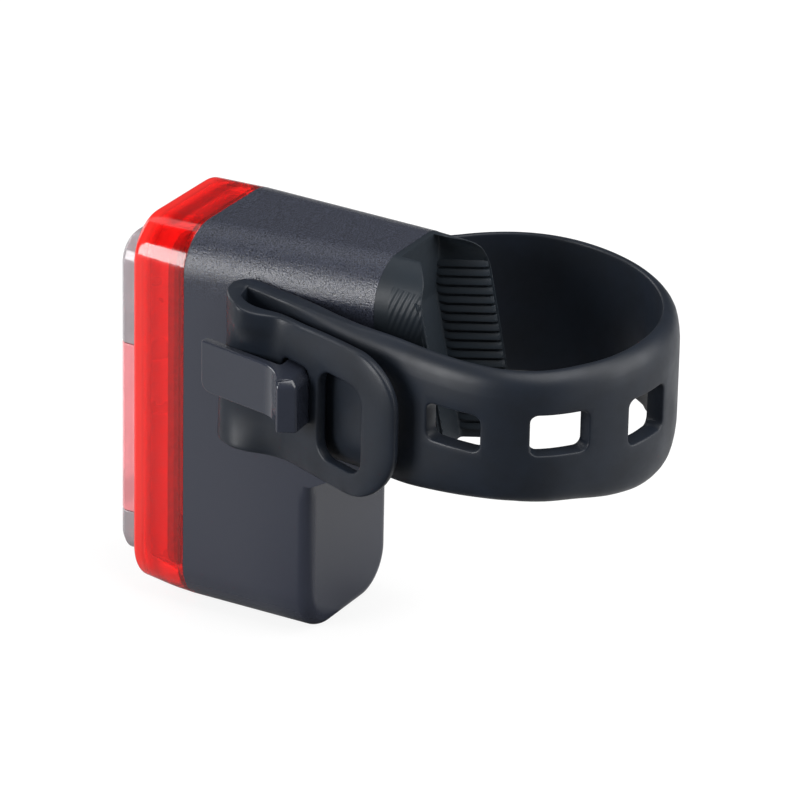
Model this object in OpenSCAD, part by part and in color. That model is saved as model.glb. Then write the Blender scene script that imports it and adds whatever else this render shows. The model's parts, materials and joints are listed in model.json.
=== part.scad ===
// Bicycle rear light on a hooked rubber strap, seen from behind the saddle.
// Millimetres, +Z up. The red lens faces -Y and the seat post stands on +Y.
// The row's origin is on the seat post's axis at the strap's mid height.
// Modules draw in the light's own frame: y = 0 is the seam between lens and housing,
// z = 0 is the housing's mid height, and +X is the side that carries the hook.

/* [Housing] */
// Width of the housing at the lens seam
housing_w = 24.8; // [22:0.2:30]
// Height of the housing at the lens seam
housing_h = 56; // [52:0.5:64]
// Depth of the lower housing, from the seam to its back face
housing_d = 19.2; // [18:0.2:24]
// Radius of the four long edges
corner_r = 6.4; // [5:0.1:8]
// Draft of each side face, narrowing to the back, in degrees
side_draft = 4.93; // [2:0.1:6]
// Flare of the top and bottom faces, growing to the back, in degrees
top_flare = 2.09; // [0:0.1:3]
// Rounding of the lower back face's edge
back_round = 1.3; // [0.6:0.1:2]
// Wall of the housing round the lens skirt
rim_wall = 1.6; // [1.4:0.1:2]
// Step inside the housing that the seal lies on
seal_step = 1.2; // [1:0.1:1.5]
// Back wall of the housing
back_wall = 1.8; // [1.6:0.1:2.4]
// Depth of the boss that carries the saddle pad
boss_d = 9; // [8:0.2:11]
// Height of the boss's lower edge above the housing's middle
boss_low = 0; // [-3:0.5:4]

/* [Lens] */
// Depth of the lens, from the seam to its front face
lens_d = 9.4; // [9:0.1:11]
// Wall of the lens
lens_wall = 1.8; // [1.5:0.1:2.2]
// Radius of the lens's front edge
lens_round = 2.6; // [1.5:0.1:3]
// Inset of the lens's sides at the front edge
lens_inset = 0.35; // [0.2:0.05:0.8]
// Length of the skirt that plugs into the housing
skirt_l = 3; // [2.5:0.1:3.5]
// Thickness of the skirt
skirt_t = 1.1; // [1:0.1:1.3]
// Distance from the housing's side to the front plates
plate_side = 2.4; // [2.2:0.1:3.4]
// Distance from the housing's upper and lower ends to the front plates
plate_in = 4; // [3.5:0.1:5.5]
// Thickness of the front plates
plate_t = 2.6; // [1.8:0.1:3]
// Depth of the pocket that the front plates lie in
plate_seat = 0.2; // [0.1:0.05:0.3]
// Lower edge of the upper bezel
window_top = 8.5; // [7:0.1:9.5]
// Upper edge of the lower bezel
window_low = -17; // [-18.5:0.1:-15]
// Pitch of the flutes on the back of the window plate
flute_pitch = 2.6; // [2:0.1:3.2]
// Radius of a flute
flute_r = 0.9; // [0.6:0.05:1]

/* [Mode button] */
// Diameter of the button's cap
button_d = 9; // [8:0.1:10]
// Height of the button above the middle of its plate
button_up = 0; // [-0.8:0.05:0.4]
// How far the button stands out of the bezel
button_out = 0.6; // [0.3:0.1:0.8]
// Travel of the button
button_travel = 0.7; // [0.4:0.05:0.8]
// Diameter of the button's stem
stem_d = 3.6; // [3:0.1:4]
// Radial clearance of a sliding piece in its bore
slide_gap = 0.08; // [0.05:0.01:0.1]

/* [Electronics] */
// Room between the board's side and the housing's wall
board_gap = 0.85; // [0.6:0.05:1.55]
// Distance from the housing's lower end to the board
board_foot = 3.8; // [3.6:0.1:4.2]
// Distance from the housing's upper end to the board
board_head = 5.4; // [5:0.1:5.8]
// Thickness of the board
board_t = 1.2; // [1:0.1:1.6]
// Distance from the seam to the board's front face
board_y = 5.2; // [4.8:0.1:5.6]
// Distance from the board's side to its screws
screw_side = 1.6; // [1.4:0.05:2]
// Distance from the board's upper end to its screws
screw_head_in = 2.2; // [1.8:0.1:2.6]
// Distance from the board's lower end to its screws
screw_foot_in = 3.4; // [3:0.1:3.8]
// Shank diameter of the board screws
screw_d = 1.8; // [1.6:0.1:2]
// Number of main lamps
led_n = 3; // [2:1:3]
// Distance between the lamps
led_pitch = 7.6; // [7.2:0.1:8]
// Room between the battery cell and the heads of the screws beside it
cell_gap = 0.1; // [0:0.05:0.8]
// Height of the battery cell
cell_h = 31; // [28:0.5:32]
// Thickness of the battery cell
cell_t = 5.4; // [4.5:0.1:5.6]
// Thickness of the foam behind the cell
foam_t = 0.6; // [0.4:0.1:0.8]

/* [Charging port] */
// Width of the opening in the bottom face
port_w = 9.6; // [9.4:0.1:10.4]
// Depth of the opening, front to back
port_d = 3.9; // [3.8:0.1:4.2]
// Thickness of the rubber cover
cover_t = 1.8; // [1.6:0.1:2]
// Width of the rubber cover
cover_w = 13; // [12:0.1:14]
// Length of the cover, from its hinge to its free edge
cover_l = 6.4; // [6.2:0.1:6.8]
// Room in front of the cover's free edge, for its swing
cover_swing = 0.45; // [0.4:0.05:0.6]
// Length of the anchor strip behind the hinge
anchor_l = 2.5; // [2:0.1:3]

/* [Saddle pad] */
// Lean of the pad, to suit the slope of a seat post, in degrees
pad_lean = 12; // [8:0.5:15]
// Height of the groove floor's upper end above the strap's middle
pad_up = 10; // [8.2:0.1:11.2]
// Depth of the groove from its rims
groove_h = 6.2; // [5:0.1:7]
// Width of the groove's smooth floor
groove_w = 10.6; // [8:0.2:12]
// Half width of the groove at its rims
rim_x = 9.2; // [8.6:0.1:9.3]
// Height of the pad's lower end
pad_low = -0.6; // [-3:0.1:2]
// Radius of the pad's upper back corner
pad_round = 5.5; // [4:0.5:7]
// Number of grip ribs on each flank
rib_n = 13; // [6:1:13]
// Pitch of the ribs
rib_pitch = 1.9; // [1.6:0.05:2]
// Depth of the notch between two ribs
rib_h = 0.55; // [0.3:0.05:0.8]

/* [Strap] */
// Diameter of the seat post that the strap is shown for
post_d = 27.2; // [25.4:0.2:31.6]
// Width of the strap in the loop
strap_w = 18.2; // [16:0.2:20]
// Thickness of the strap
strap_t = 2.5; // [2:0.1:2.8]
// Distance from the housing's upper end to the strap's middle
strap_drop = 14.2; // [13.6:0.1:15]
// Outside radius of the loop
loop_r = 23; // [22.4:0.1:24]
// How far the loop's centre lies in front of the post's axis
loop_fwd = 4.7; // [4:0.1:6]
// Distance from the hook's side of the housing to the loop's middle
loop_side = 14.3; // [13.4:0.1:15.4]
// Radius of the strap's bend where it meets the housing
bend_r = 14; // [12:0.5:16]
// Gap between the strap and what it lies on
lay_gap = 0.2; // [0.15:0.01:0.3]
// Distance of the fold's front from the seam
fold_y = 8.4; // [6.5:0.1:9]
// Half height of the strap at the fold
fold_h = 11.1; // [10:0.1:12]
// Height of the tab's upper edge above the strap's middle
tab_up = 8; // [7.2:0.1:8.8]
// Depth of the tab's lower edge below the strap's middle
tab_down = 12.6; // [11.8:0.1:13.2]
// Lean of the tab, out from the light's middle plane, in degrees
tab_lean = 20; // [18:0.5:21]
// Radius of the tail's bend in front of the tab
tail_r = 9; // [7:0.5:10]
// Length of the tab behind the line where it touches the loop
tab_end = 4.8; // [4:0.1:6]
// Length of the tab in front of that line
tab_root = 11; // [10.7:0.1:11.2]
// Radius of the tab's upper corner
tab_r = 7; // [5:0.5:8]
// Radius of the tab's lower corner
tab_r2 = 7.5; // [6:0.5:10]
// Length of the slot in the tab, along the strap
slot_l = 9.2; // [7:0.1:9.4]
// Height of the slot in the tab
slot_h = 13; // [9:0.2:13.4]
// Distance from the slot to the tab's round end
slot_in = 5.1; // [4.8:0.1:5.3]
// Length of the strap's holes
hole_l = 8; // [7:0.1:8.5]
// Height of the strap's holes
hole_h = 6; // [5:0.1:7]
// Number of free holes in the loop
hole_n = 3; // [1:1:3]
// Angle of the first free hole round the loop
hole_first = 13; // [10:0.5:16]
// Angle between two free holes
hole_step = 33; // [26:0.5:34]
// Angle round the loop where the strap bends open
open_at = 120; // [110:1:135]

/* [Hook and stud] */
// Height of the hook
hook_h = 6.6; // [6:0.1:7.4]
// Depth of the hook's middle below the strap's
hook_drop = 1.2; // [0.8:0.1:1.8]
// Distance of the hook's tip from the seam, along the face
hook_tip = 6.5; // [6:0.1:7.6]
// Distance of the hook's back face from the seam, along the face
hook_back = 20.9; // [20.4:0.1:21.1]
// Thickness of the hook's blade at its tip
blade_t = 1.5; // [1.3:0.1:2.2]
// Length of the block that passes through the strap
block_l = 4.4; // [3.8:0.1:5]
// How far the ridge stands out past the blade
ridge_out = 6; // [4:0.1:6.4]
// Clearance of the hook's block in the strap's holes
hook_gap = 0.5; // [0.3:0.05:0.7]
// Diameter of the stud that holds the strap's fixed end
stud_d = 5; // [4:0.1:6]
// Diameter of the stud's head
stud_head = 9.6; // [8:0.1:11]
// Thickness of the stud's head
stud_head_t = 1.6; // [1.2:0.1:2]
// Distance of the stud from the seam, along the face
stud_y = 9; // [8.4:0.1:9.6]

/* [Hidden] */
$fn = 48;
eps = 0.02;
big = 3 * housing_h;
// Fit between two fixed pieces
fit = 0.1;
// Depth of the recess that the hook's foot lies in
foot_t = 1.2;
foot_l = 11;
foot_h = 12;
// Screws that hold the hook, and the stud's screw
hook_screw_d = 2;
hook_screw_z = 3.6;
screw_bite = 1;
stud_screw_d = 2.6;
head_t = 1.2;
// Charging socket
usb_w = 8.9;
usb_d = 3.2;
usb_l = 7.2;
usb_out = 0.9;
usb_wall = 0.32;
usb_tongue_w = 6.6;
usb_tongue_t = 0.7;
seam_w = housing_w / 2;
in_wall = rim_wall + seal_step;
tan_draft = tan(side_draft);
tan_flare = tan(top_flare);
seam_y = housing_d + boss_d;
shelf_y = skirt_l + seal_step;
cavity_y = housing_d - back_wall;
lens_in = lens_d - lens_wall - plate_seat;
// The skirt and the seal clear the narrowest part of the housing's tapering mouth
skirt_in = rim_wall + fit + shelf_y * tan_draft;
skirt_root = 1.5;
plate_y = lens_d - plate_seat;
bezel_y = plate_y + plate_t;
board_back = board_y + board_t;
plate_w = housing_w - 2 * plate_side;
plate_h = housing_h - 2 * plate_in;
button_z = (window_top + plate_h / 2) / 2 + button_up;
strap_z = housing_h / 2 - strap_drop;
hook_z = strap_z - hook_drop;
tab_top = strap_z + tab_up;
tab_low = strap_z - tab_down;
pad_floor_z = strap_z + pad_up;
tan_lean = tan(pad_lean);
function half_w(y) = seam_w - y * tan_draft;
function half_h(y) = housing_h / 2 + y * tan_flare;
board_w = 2 * (half_w(board_back) - in_wall - board_gap);
board_low = board_foot - housing_h / 2;
board_top = housing_h / 2 - board_head;
screw_x = board_w / 2 - screw_side;
screw_top = board_top - screw_head_in;
screw_low = board_low + screw_foot_in;
cell_w = 2 * (half_w(cavity_y) - in_wall - head_t - cell_gap);
function floor_y(z) = seam_y + (pad_floor_z - z) * tan_lean;
function rim_y(z) = floor_y(z) + groove_h;
post_r = post_d / 2;
post_gap = 0.2;
// Rubber left on the boss under the groove's upper end
pad_skin = 0.8;
post_y = rim_y(strap_z) + sqrt(post_r * post_r - rim_x * rim_x) + post_gap;
// Strap path: a loop about loop_c, a reverse bend, and a run along each side face
loop_m = loop_r - strap_t / 2;
loop_in = loop_r - strap_t;
loop_y = post_y - loop_fwd;
run_off = lay_gap + strap_t / 2;
tail_off = run_off + strap_t + lay_gap;
nx = cos(side_draft);
ny = sin(side_draft);
function drop(cx) = (cx - seam_w) * nx + loop_y * ny - run_off;
function reach(cx) = sqrt(pow(loop_m + bend_r, 2) - pow(bend_r - drop(cx), 2));
function bend_c(cx) = [
  cx + (bend_r - drop(cx)) * nx + reach(cx) * ny,
  loop_y + (bend_r - drop(cx)) * ny - reach(cx) * nx
];
function loop_end(cx) = atan2(bend_c(cx)[1] - loop_y, bend_c(cx)[0] - cx);
function run_end(cx) = (bend_c(cx)[1] - bend_r * ny) / nx;
near_c = seam_w - loop_side;
far_c = -near_c;
strap_low = strap_z - strap_w / 2;
strap_top = strap_z + strap_w / 2;
fold_z = strap_z - 0.9;
fold_r = (strap_t + lay_gap) / 2;
// The tail lies along the run, then bends off to the tab, which touches the loop's outside
tab_d = loop_m + strap_t + lay_gap;
turn = tab_lean + side_draft;
tail_meet = ((seam_w - near_c) * cos(tab_lean) + tail_off * cos(turn) + loop_y * sin(tab_lean) - tab_d) / sin(turn);
tail_cut = tail_r * tan(turn / 2);
tail_end = tail_meet - tail_cut;
tab_start = (seam_w - near_c) * sin(tab_lean) - loop_y * cos(tab_lean) + tail_off * sin(turn)
  + tail_meet * cos(turn) + tail_cut;
tab_x = near_c + (tab_d + strap_t / 2) * cos(tab_lean) - tab_root * sin(tab_lean);
tab_y = loop_y - (tab_d + strap_t / 2) * sin(tab_lean) - tab_root * cos(tab_lean);
open_x = near_c + loop_r * cos(open_at);
open_y = loop_y + loop_r * sin(open_at);
blade_x = tail_off + strap_t / 2 + lay_gap;
port_y = board_back + 1.6;
cover_hinge = port_y + port_d / 2 + 1.65;
cover_z = -housing_h / 2 - 0.2;
cup_r = led_pitch / 2 - 0.3;
lamp_z = (window_top + window_low) / 2;

module at_post() {
  translate([0, -post_y, -strap_z]) children();
}

// Turns a 2D outline in x and z into a slab that runs along +Y from y
module along_y(y, l) {
  translate([0, y + l, 0]) rotate([90, 0, 0]) linear_extrude(l) children();
}

module rrect(w, h, r) {
  square([w, h - 2 * r], center = true);
  square([w - 2 * r, h], center = true);
  for (sx = [-1, 1], sy = [-1, 1])
    translate([sx * (w / 2 - r), sy * (h / 2 - r)]) circle(r);
}

module slab(y, w, h, r) {
  along_y(y - eps / 2, eps) rrect(w, h, r);
}

// One rounded long edge of the housing, running back along the draft and the flare
module long_edge(inset) {
  r = max(corner_r - inset, 1);
  translate([seam_w - inset, 0, housing_h / 2 - inset]) rotate([top_flare, 0, side_draft]) along_y(-big / 2, big) {
    translate([-big, -big]) square([big, big - r]);
    translate([-big, -big]) square([big - r, big]);
    translate([-r, -r]) circle(r);
  }
}

// The housing's tapering section between two depths, drawn in by inset
module tapered(y0, y1, inset) {
  intersection() {
    translate([-big / 2, y0, -big / 2]) cube([big, y1 - y0, big]);
    long_edge(inset);
    mirror([1, 0, 0]) long_edge(inset);
    mirror([0, 0, 1]) long_edge(inset);
    mirror([1, 0, 0]) mirror([0, 0, 1]) long_edge(inset);
  }
}

// Cuts a square corner round: c is the arc's centre, a1 and a2 point to its two faces
module corner_cut(c, a1, a2, r) {
  mid = (a1 + a2) / 2;
  translate(c) difference() {
    polygon([[0, 0], 2 * r * [cos(a1), sin(a1)], 3 * r * [cos(mid), sin(mid)], 2 * r * [cos(a2), sin(a2)]]);
    circle(r);
  }
}

// Frame of the near side face: x outwards, y to the back along the face
module near_face() {
  translate([seam_w, 0, 0]) rotate([0, 0, side_draft]) children();
}

module far_face() {
  mirror([1, 0, 0]) near_face() children();
}

// Screw standoffs of the board, at their four places
module at_screws() {
  for (sx = [-1, 1], z = [screw_low, screw_top]) translate([sx * screw_x, 0, z]) children();
}

module rod_y(y0, y1, d) {
  translate([0, y1, 0]) rotate([90, 0, 0]) cylinder(d = d, h = y1 - y0);
}

module housing_outer() {
  ramp_z = boss_low - boss_d * 0.6;
  cut_y = housing_d - back_round;
  difference() {
    intersection() {
      tapered(0, seam_y, 0);
      rotate([90, 0, 90]) linear_extrude(big, center = true)
        polygon([[-1, -housing_h], [housing_d, -housing_h], [housing_d, ramp_z], [seam_y + 1, boss_low],
          [seam_y + 1, housing_h], [-1, housing_h]]);
    }
    for (s = [0, 1]) mirror([s, 0, 0]) translate([0, 0, ramp_z - housing_h]) linear_extrude(housing_h)
      corner_cut([seam_w - (cut_y * ny + back_round) / nx, cut_y], side_draft, 90, back_round);
    rotate([90, 0, 90]) linear_extrude(big, center = true)
      corner_cut([cut_y, -housing_h / 2 + (back_round - cut_y * sin(top_flare)) / cos(top_flare)],
        0, -90 - top_flare, back_round);
  }
}

module housing() {
  color([0.06, 0.06, 0.07])
  difference() {
    union() {
      difference() {
        housing_outer();
        tapered(-1, shelf_y, rim_wall);
        tapered(shelf_y - 1, cavity_y, in_wall);
      }
      at_screws() rod_y(board_back, cavity_y + 0.5, screw_d + 2);
    }
    at_screws() rod_y(board_back - 1, cavity_y - 0.6, screw_d - 0.2);
    // Charging port, and the recess of its cover and anchor
    translate([0, port_y, -housing_h]) linear_extrude(housing_h / 2 + 4) rrect(port_w, port_d, port_d / 2 - 0.1);
    translate([0, port_y, -housing_h]) linear_extrude(housing_h + board_low - usb_out + usb_l + fit)
      rrect(usb_w + 2 * fit, usb_d + 2 * fit, usb_d / 2);
    translate([-cover_w / 2 - fit, cover_hinge - cover_l - cover_swing, -housing_h])
      cube([cover_w + 2 * fit, cover_l + cover_swing + anchor_l + fit, housing_h + cover_z + cover_t]);
    // Recess and screw holes of the hook, and seat of the strap stud
    near_face() {
      translate([-foot_t, hook_back - foot_l - fit, hook_z - foot_h / 2 - fit])
        cube([foot_t + 1, foot_l + 2 * fit, foot_h + 2 * fit]);
      hook_screw_places() rotate([0, -90, 0]) cylinder(d = hook_screw_d + 2 * fit, h = in_wall + 6);
    }
    far_face() translate([1, stud_y, strap_z]) rotate([0, -90, 0]) {
      cylinder(d = stud_d + 2 + 2 * fit, h = 1 + foot_t);
      cylinder(d = stud_screw_d + 2 * fit, h = in_wall + 4);
    }
    // Seat of the pad's plug
    translate([-plug_w() / 2 - fit, seam_y - plug_d(), plug_z() - plug_h() / 2 - fit])
      cube([plug_w() + 2 * fit, plug_d() + 1, plug_h() + 2 * fit]);
  }
}

function plug_w() = 12;
function plug_h() = 16;
function plug_d() = 2.4;
function plug_z() = (boss_low + half_h(seam_y)) / 2;

module hook_screw_places() {
  for (s = [-1, 1])
    translate([-foot_t + eps, hook_back - foot_l + 3.4, hook_z + s * hook_screw_z]) children();
}

// Notches of one flank, drawn for the near side and mirrored for the other
module flank_notches() {
  flank_a = atan2(groove_h, rim_x - groove_w / 2);
  flank_l = norm([groove_h, rim_x - groove_w / 2]);
  for (k = [0 : rib_n - 1]) {
    z = pad_low + 1.4 + k * rib_pitch;
    translate([groove_w / 2, floor_y(z), z]) rotate([0, 0, flank_a])
      rotate([90, 0, 90]) translate([0, 0, 0.4]) linear_extrude(flank_l + 2)
        polygon([[0.6, 0], [-rib_h, 0], [0.6, rib_pitch * 0.86]]);
  }
}

module saddle_pad() {
  color([0.09, 0.09, 0.1])
  difference() {
    union() {
      intersection() {
        tapered(seam_y + eps, seam_y + 2 * groove_h, 0.05);
        pad_profile();
      }
      translate([-plug_w() / 2, seam_y - plug_d() + fit, plug_z() - plug_h() / 2])
        cube([plug_w(), plug_d(), plug_h()]);
    }
    // The groove that the post lies in, which leaves a skin on the boss
    intersection() {
      translate([-big / 2, seam_y + pad_skin, -big / 2]) cube(big);
      translate([0, floor_y(0), 0]) rotate([pad_lean, 0, 0]) translate([0, 0, -housing_h])
        linear_extrude(2 * housing_h)
          polygon([[-groove_w / 2, 0], [groove_w / 2, 0], [rim_x, groove_h * cos(pad_lean)],
            [rim_x, 3 * groove_h], [-rim_x, 3 * groove_h], [-rim_x, groove_h * cos(pad_lean)]]);
    }
    intersection() {
      translate([-big / 2, seam_y + pad_skin, -big / 2]) cube(big);
      for (s = [0, 1]) mirror([s, 0, 0]) flank_notches();
    }
  }
}

// Side profile of the pad: a leaning back face with a round upper corner
module pad_profile() {
  top = half_h(seam_y);
  rotate([90, 0, 90]) linear_extrude(2 * housing_w, center = true)
    difference() {
      polygon([[seam_y + eps, pad_low], [rim_y(pad_low), pad_low], [rim_y(top + 2), top + 2], [seam_y + eps, top + 2]]);
      translate([seam_y + pad_skin / 4, top - pad_round - pad_skin / 2]) difference() {
        square([3 * pad_round, 3 * pad_round]);
        circle(pad_round);
      }
    }
}

module lens_outer() {
  hull() {
    slab(-eps / 2, housing_w, housing_h, corner_r);
    for (a = [0, 30, 60, 90])
      slab(-lens_d + lens_round * (1 - sin(a)),
        housing_w - 2 * lens_inset - 2 * lens_round * (1 - cos(a)) * 0.6,
        housing_h - 2 * lens_inset - 2 * lens_round * (1 - cos(a)) * 0.6, corner_r - 0.6);
  }
}

module skirt_ring(w_out) {
  w_in = skirt_in + skirt_t;
  difference() {
    rrect(housing_w - 2 * w_out, housing_h - 2 * w_out, corner_r - w_out);
    rrect(housing_w - 2 * w_in, housing_h - 2 * w_in, corner_r - w_in);
  }
}

module lens_cap() {
  color([0.75, 0.03, 0.04, 0.55])
  difference() {
    union() {
      difference() {
        lens_outer();
        hull() {
          slab(1, housing_w - 2 * lens_wall, housing_h - 2 * lens_wall, corner_r - lens_wall);
          slab(-lens_in, housing_w - 2 * lens_wall - 2 * lens_inset - 0.8,
            housing_h - 2 * lens_wall - 2 * lens_inset - 0.8, corner_r - lens_wall);
        }
      }
      along_y(-skirt_root, skirt_root + skirt_l) skirt_ring(skirt_in);
      along_y(-skirt_root, skirt_root) skirt_ring(lens_wall / 2);
    }
    along_y(-lens_d - 1, 1 + plate_seat) rrect(plate_w + 2 * fit, plate_h + 2 * fit, 4 + fit);
    translate([0, 0, button_z]) {
      rod_y(-plate_y - 1, -plate_y + 0.6, button_d + 3);
      rod_y(-lens_d - 1, 0, stem_d + 2 * slide_gap);
    }
  }
}

module lens_seal() {
  color([0.12, 0.12, 0.13])
  along_y(skirt_l + 0.05, seal_step - 0.1) skirt_ring(skirt_in);
}

// A rounded plate, chamfered round its front, that runs forwards from y = 0
module chamfer_plate(w, h, r, t, c) {
  along_y(c - t, t - c) rrect(w, h, r);
  for (sx = [-1, 1], sz = [-1, 1]) translate([sx * (w / 2 - r), c - t, sz * (h / 2 - r)])
    rotate([90, 0, 0]) cylinder(r1 = r, r2 = r - c, h = c);
  translate([0, 0, r - h / 2]) linear_extrude(h - 2 * r)
    polygon([[-w / 2, c - t], [w / 2, c - t], [w / 2 - c, -t], [c - w / 2, -t]]);
  translate([r - w / 2, 0, 0]) rotate([90, 0, 90]) linear_extrude(w - 2 * r)
    polygon([[c - t, -h / 2], [c - t, h / 2], [-t, h / 2 - c], [-t, c - h / 2]]);
}

// The front plates share one chamfered outline
module plate_body(z0, z1) {
  intersection() {
    translate([0, -plate_y, 0]) chamfer_plate(plate_w, plate_h, 4, plate_t, 0.7);
    translate([-plate_w, -plate_y - 2 * plate_t, z0]) cube([2 * plate_w, 3 * plate_t, z1 - z0]);
  }
}

module window_plate() {
  color([0.8, 0.04, 0.04, 0.7])
  difference() {
    plate_body(window_low + fit, window_top - fit);
    flute_n = floor((plate_w - 4) / flute_pitch);
    for (k = [0 : flute_n - 1])
      translate([(k - (flute_n - 1) / 2) * flute_pitch, -plate_y, window_low + 2])
        cylinder(r = flute_r, h = window_top - window_low - 4);
  }
}

module button_bezel() {
  color([0.03, 0.03, 0.035])
  difference() {
    plate_body(window_top, plate_h);
    translate([0, 0, button_z]) {
      rod_y(-bezel_y - 1, 0, button_d + 2 * slide_gap);
      rod_y(-plate_y - plate_t / 2, 0, button_d + 3);
    }
  }
}

module lower_bezel() {
  color([0.03, 0.03, 0.035])
  plate_body(-plate_h, window_low);
}

guide_back = 2.8;
guide_in = lens_wall + lens_inset + 0.7;
guide_w = housing_w - 2 * guide_in;
guide_h = housing_h - 2 * guide_in;

module light_guide() {
  color([0.95, 0.6, 0.55, 0.8])
  along_y(-lens_in + 0.6, lens_in - 0.6 - guide_back - 1) difference() {
    rrect(guide_w, guide_h, corner_r - 2.4);
    rrect(guide_w - 4.4, guide_h - 4.4, corner_r - 4.4);
  }
}

module reflector_tray() {
  color([0.85, 0.85, 0.86])
  difference() {
    union() {
      along_y(-guide_back - 1, 1) rrect(guide_w, guide_h, corner_r - 2.4);
      along_y(-lens_in + 0.8, lens_in - 0.8 + board_y)
        translate([0, lamp_z]) rrect(guide_w - 5, window_top - window_low, 2);
    }
    at_lamps() {
      rod_y(board_y - 2.2, board_y + 1, 4.4);
      translate([0, board_y - 2.1, 0]) rotate([90, 0, 0])
        cylinder(r1 = 2.1, r2 = cup_r, h = lens_in + board_y);
    }
    translate([0, 0, button_z]) rod_y(-lens_d, board_y, stem_d + 3);
  }
}

module at_lamps() {
  for (k = [0 : led_n - 1]) translate([0, 0, lamp_z + (k - (led_n - 1) / 2) * led_pitch]) children();
}

module circuit_board() {
  color([0.03, 0.2, 0.12])
  difference() {
    translate([-board_w / 2, board_y, board_low]) cube([board_w, board_t, board_top - board_low]);
    at_screws() rod_y(0, 20, screw_d + 2 * fit);
  }
}

module lamps() {
  color([0.95, 0.9, 0.7])
  at_lamps() {
    translate([-1.4, board_y - 0.9, -1.4]) cube([2.8, 0.9, 2.8]);
    translate([0, board_y - 0.8, 0]) intersection() {
      sphere(1.2);
      translate([-2, -3, -2]) cube([4, 3, 4]);
    }
  }
}

switch_w = 6;
switch_t = 3.4;
plunger_out = 0.9;
plunger_in = 1.6;
plunger_d = 3;

module tact_switch() {
  color([0.1, 0.1, 0.11])
  difference() {
    translate([-switch_w / 2, board_y - switch_t, button_z - switch_w / 2]) cube([switch_w, switch_t, switch_w]);
    translate([0, 0, button_z]) rod_y(0, board_y - plunger_in + button_travel + 0.2, plunger_d + 2 * slide_gap);
  }
}

module switch_plunger() {
  color([0.8, 0.75, 0.6])
  translate([0, 0, button_z]) rod_y(board_y - switch_t - plunger_out, board_y - plunger_in, plunger_d);
}

module mode_button() {
  color([0.14, 0.14, 0.15])
  translate([0, 0, button_z]) {
    rod_y(-bezel_y - button_out + 0.5, -plate_y - plate_t / 2 + 0.4, button_d);
    translate([0, -bezel_y - button_out + 0.5, 0]) rotate([90, 0, 0])
      cylinder(d1 = button_d, d2 = button_d - 1, h = 0.5);
    rod_y(-plate_y - plate_t / 2 + 0.05, -plate_y - plate_t / 2 + 0.65, button_d + 2);
    rod_y(-plate_y - plate_t / 2, board_y - switch_t - plunger_out, stem_d);
  }
}

module stem_seal() {
  color([0.2, 0.2, 0.2])
  translate([0, -lens_in + 0.6, button_z]) rotate([90, 0, 0])
    rotate_extrude() translate([stem_d / 2 + slide_gap + 0.6, 0]) circle(0.6);
}

module usb_socket() {
  color([0.75, 0.76, 0.78])
  translate([0, port_y, board_low - usb_out]) {
    difference() {
      linear_extrude(usb_l) rrect(usb_w, usb_d, usb_d / 2 - 0.1);
      translate([0, 0, -usb_l]) linear_extrude(2 * usb_l - usb_wall) rrect(usb_w - 2 * usb_wall, usb_d - 2 * usb_wall,
        usb_d / 2 - 0.1 - usb_wall);
    }
    translate([-usb_tongue_w / 2, -usb_tongue_t / 2, usb_out]) cube([usb_tongue_w, usb_tongue_t, usb_l - usb_out - usb_wall / 2]);
  }
}

cell_y = cavity_y - foam_t - cell_t;
cell_z = (screw_top + screw_low) / 2 + 1;

module battery_cell() {
  color([0.7, 0.71, 0.74])
  translate([-cell_w / 2, cell_y, cell_z - cell_h / 2]) cube([cell_w, cell_t, cell_h]);
}

module battery_foam() {
  color([0.2, 0.2, 0.22])
  translate([-cell_w / 2 + 1, cavity_y - foam_t, cell_z - cell_h / 2 + 2]) cube([cell_w - 2, foam_t, cell_h - 4]);
}

lead_d = 0.9;
lead_x = 1.4;
lead_up = 1.5;

module battery_leads() {
  color([0.7, 0.1, 0.1])
  for (sx = [-1, 1]) translate([sx * lead_x, 0, cell_z + cell_h / 2]) {
    translate([0, cell_y + cell_t / 2, 0]) cylinder(d = lead_d, h = lead_up);
    translate([0, cell_y + cell_t / 2, lead_up]) sphere(d = lead_d);
    translate([0, 0, lead_up]) rod_y(board_back, cell_y + cell_t / 2, lead_d);
  }
}

module board_screws() {
  color([0.7, 0.7, 0.72])
  at_screws() difference() {
    union() {
      rod_y(board_y, cavity_y - 1.6, screw_d - 0.2);
      rod_y(board_y - head_t, board_y, screw_d + 1.7);
    }
    translate([0, board_y - head_t + 0.6, 0]) rotate([90, 0, 0]) cylinder(d = 1.2, h = 2, $fn = 6);
  }
}

module port_cover() {
  color([0.1, 0.1, 0.11])
  translate([0, cover_hinge, cover_z]) {
    difference() {
      translate([-cover_w / 2, -cover_l, 0]) cube([cover_w, cover_l - fit, cover_t - fit]);
      translate([-2.5, -cover_l - 1, -1]) cube([5, 1.8, 1.6]);
    }
    lip_d = port_d - 0.7;
    translate([0, -1.65 - 0.2 - lip_d / 2, cover_t - fit - eps]) linear_extrude(0.8)
      rrect(port_w - 0.6, lip_d, lip_d / 2 - 0.1);
  }
}

module cover_anchor() {
  color([0.1, 0.1, 0.11])
  translate([-cover_w / 2, cover_hinge + fit, cover_z]) cube([cover_w, anchor_l - fit, cover_t]);
}

module strap_hook() {
  color([0.05, 0.05, 0.055])
  near_face() difference() {
    union() {
      translate([-foot_t, hook_back - foot_l, hook_z - foot_h / 2]) cube([foot_t, foot_l, foot_h]);
      translate([0, 0, hook_z - hook_h / 2]) linear_extrude(hook_h) hook_profile();
    }
    hook_screw_places() translate([-1, 0, 0]) rotate([0, 90, 0]) cylinder(d = hook_screw_d - 0.2, h = 1 + screw_bite);
  }
}

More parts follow.
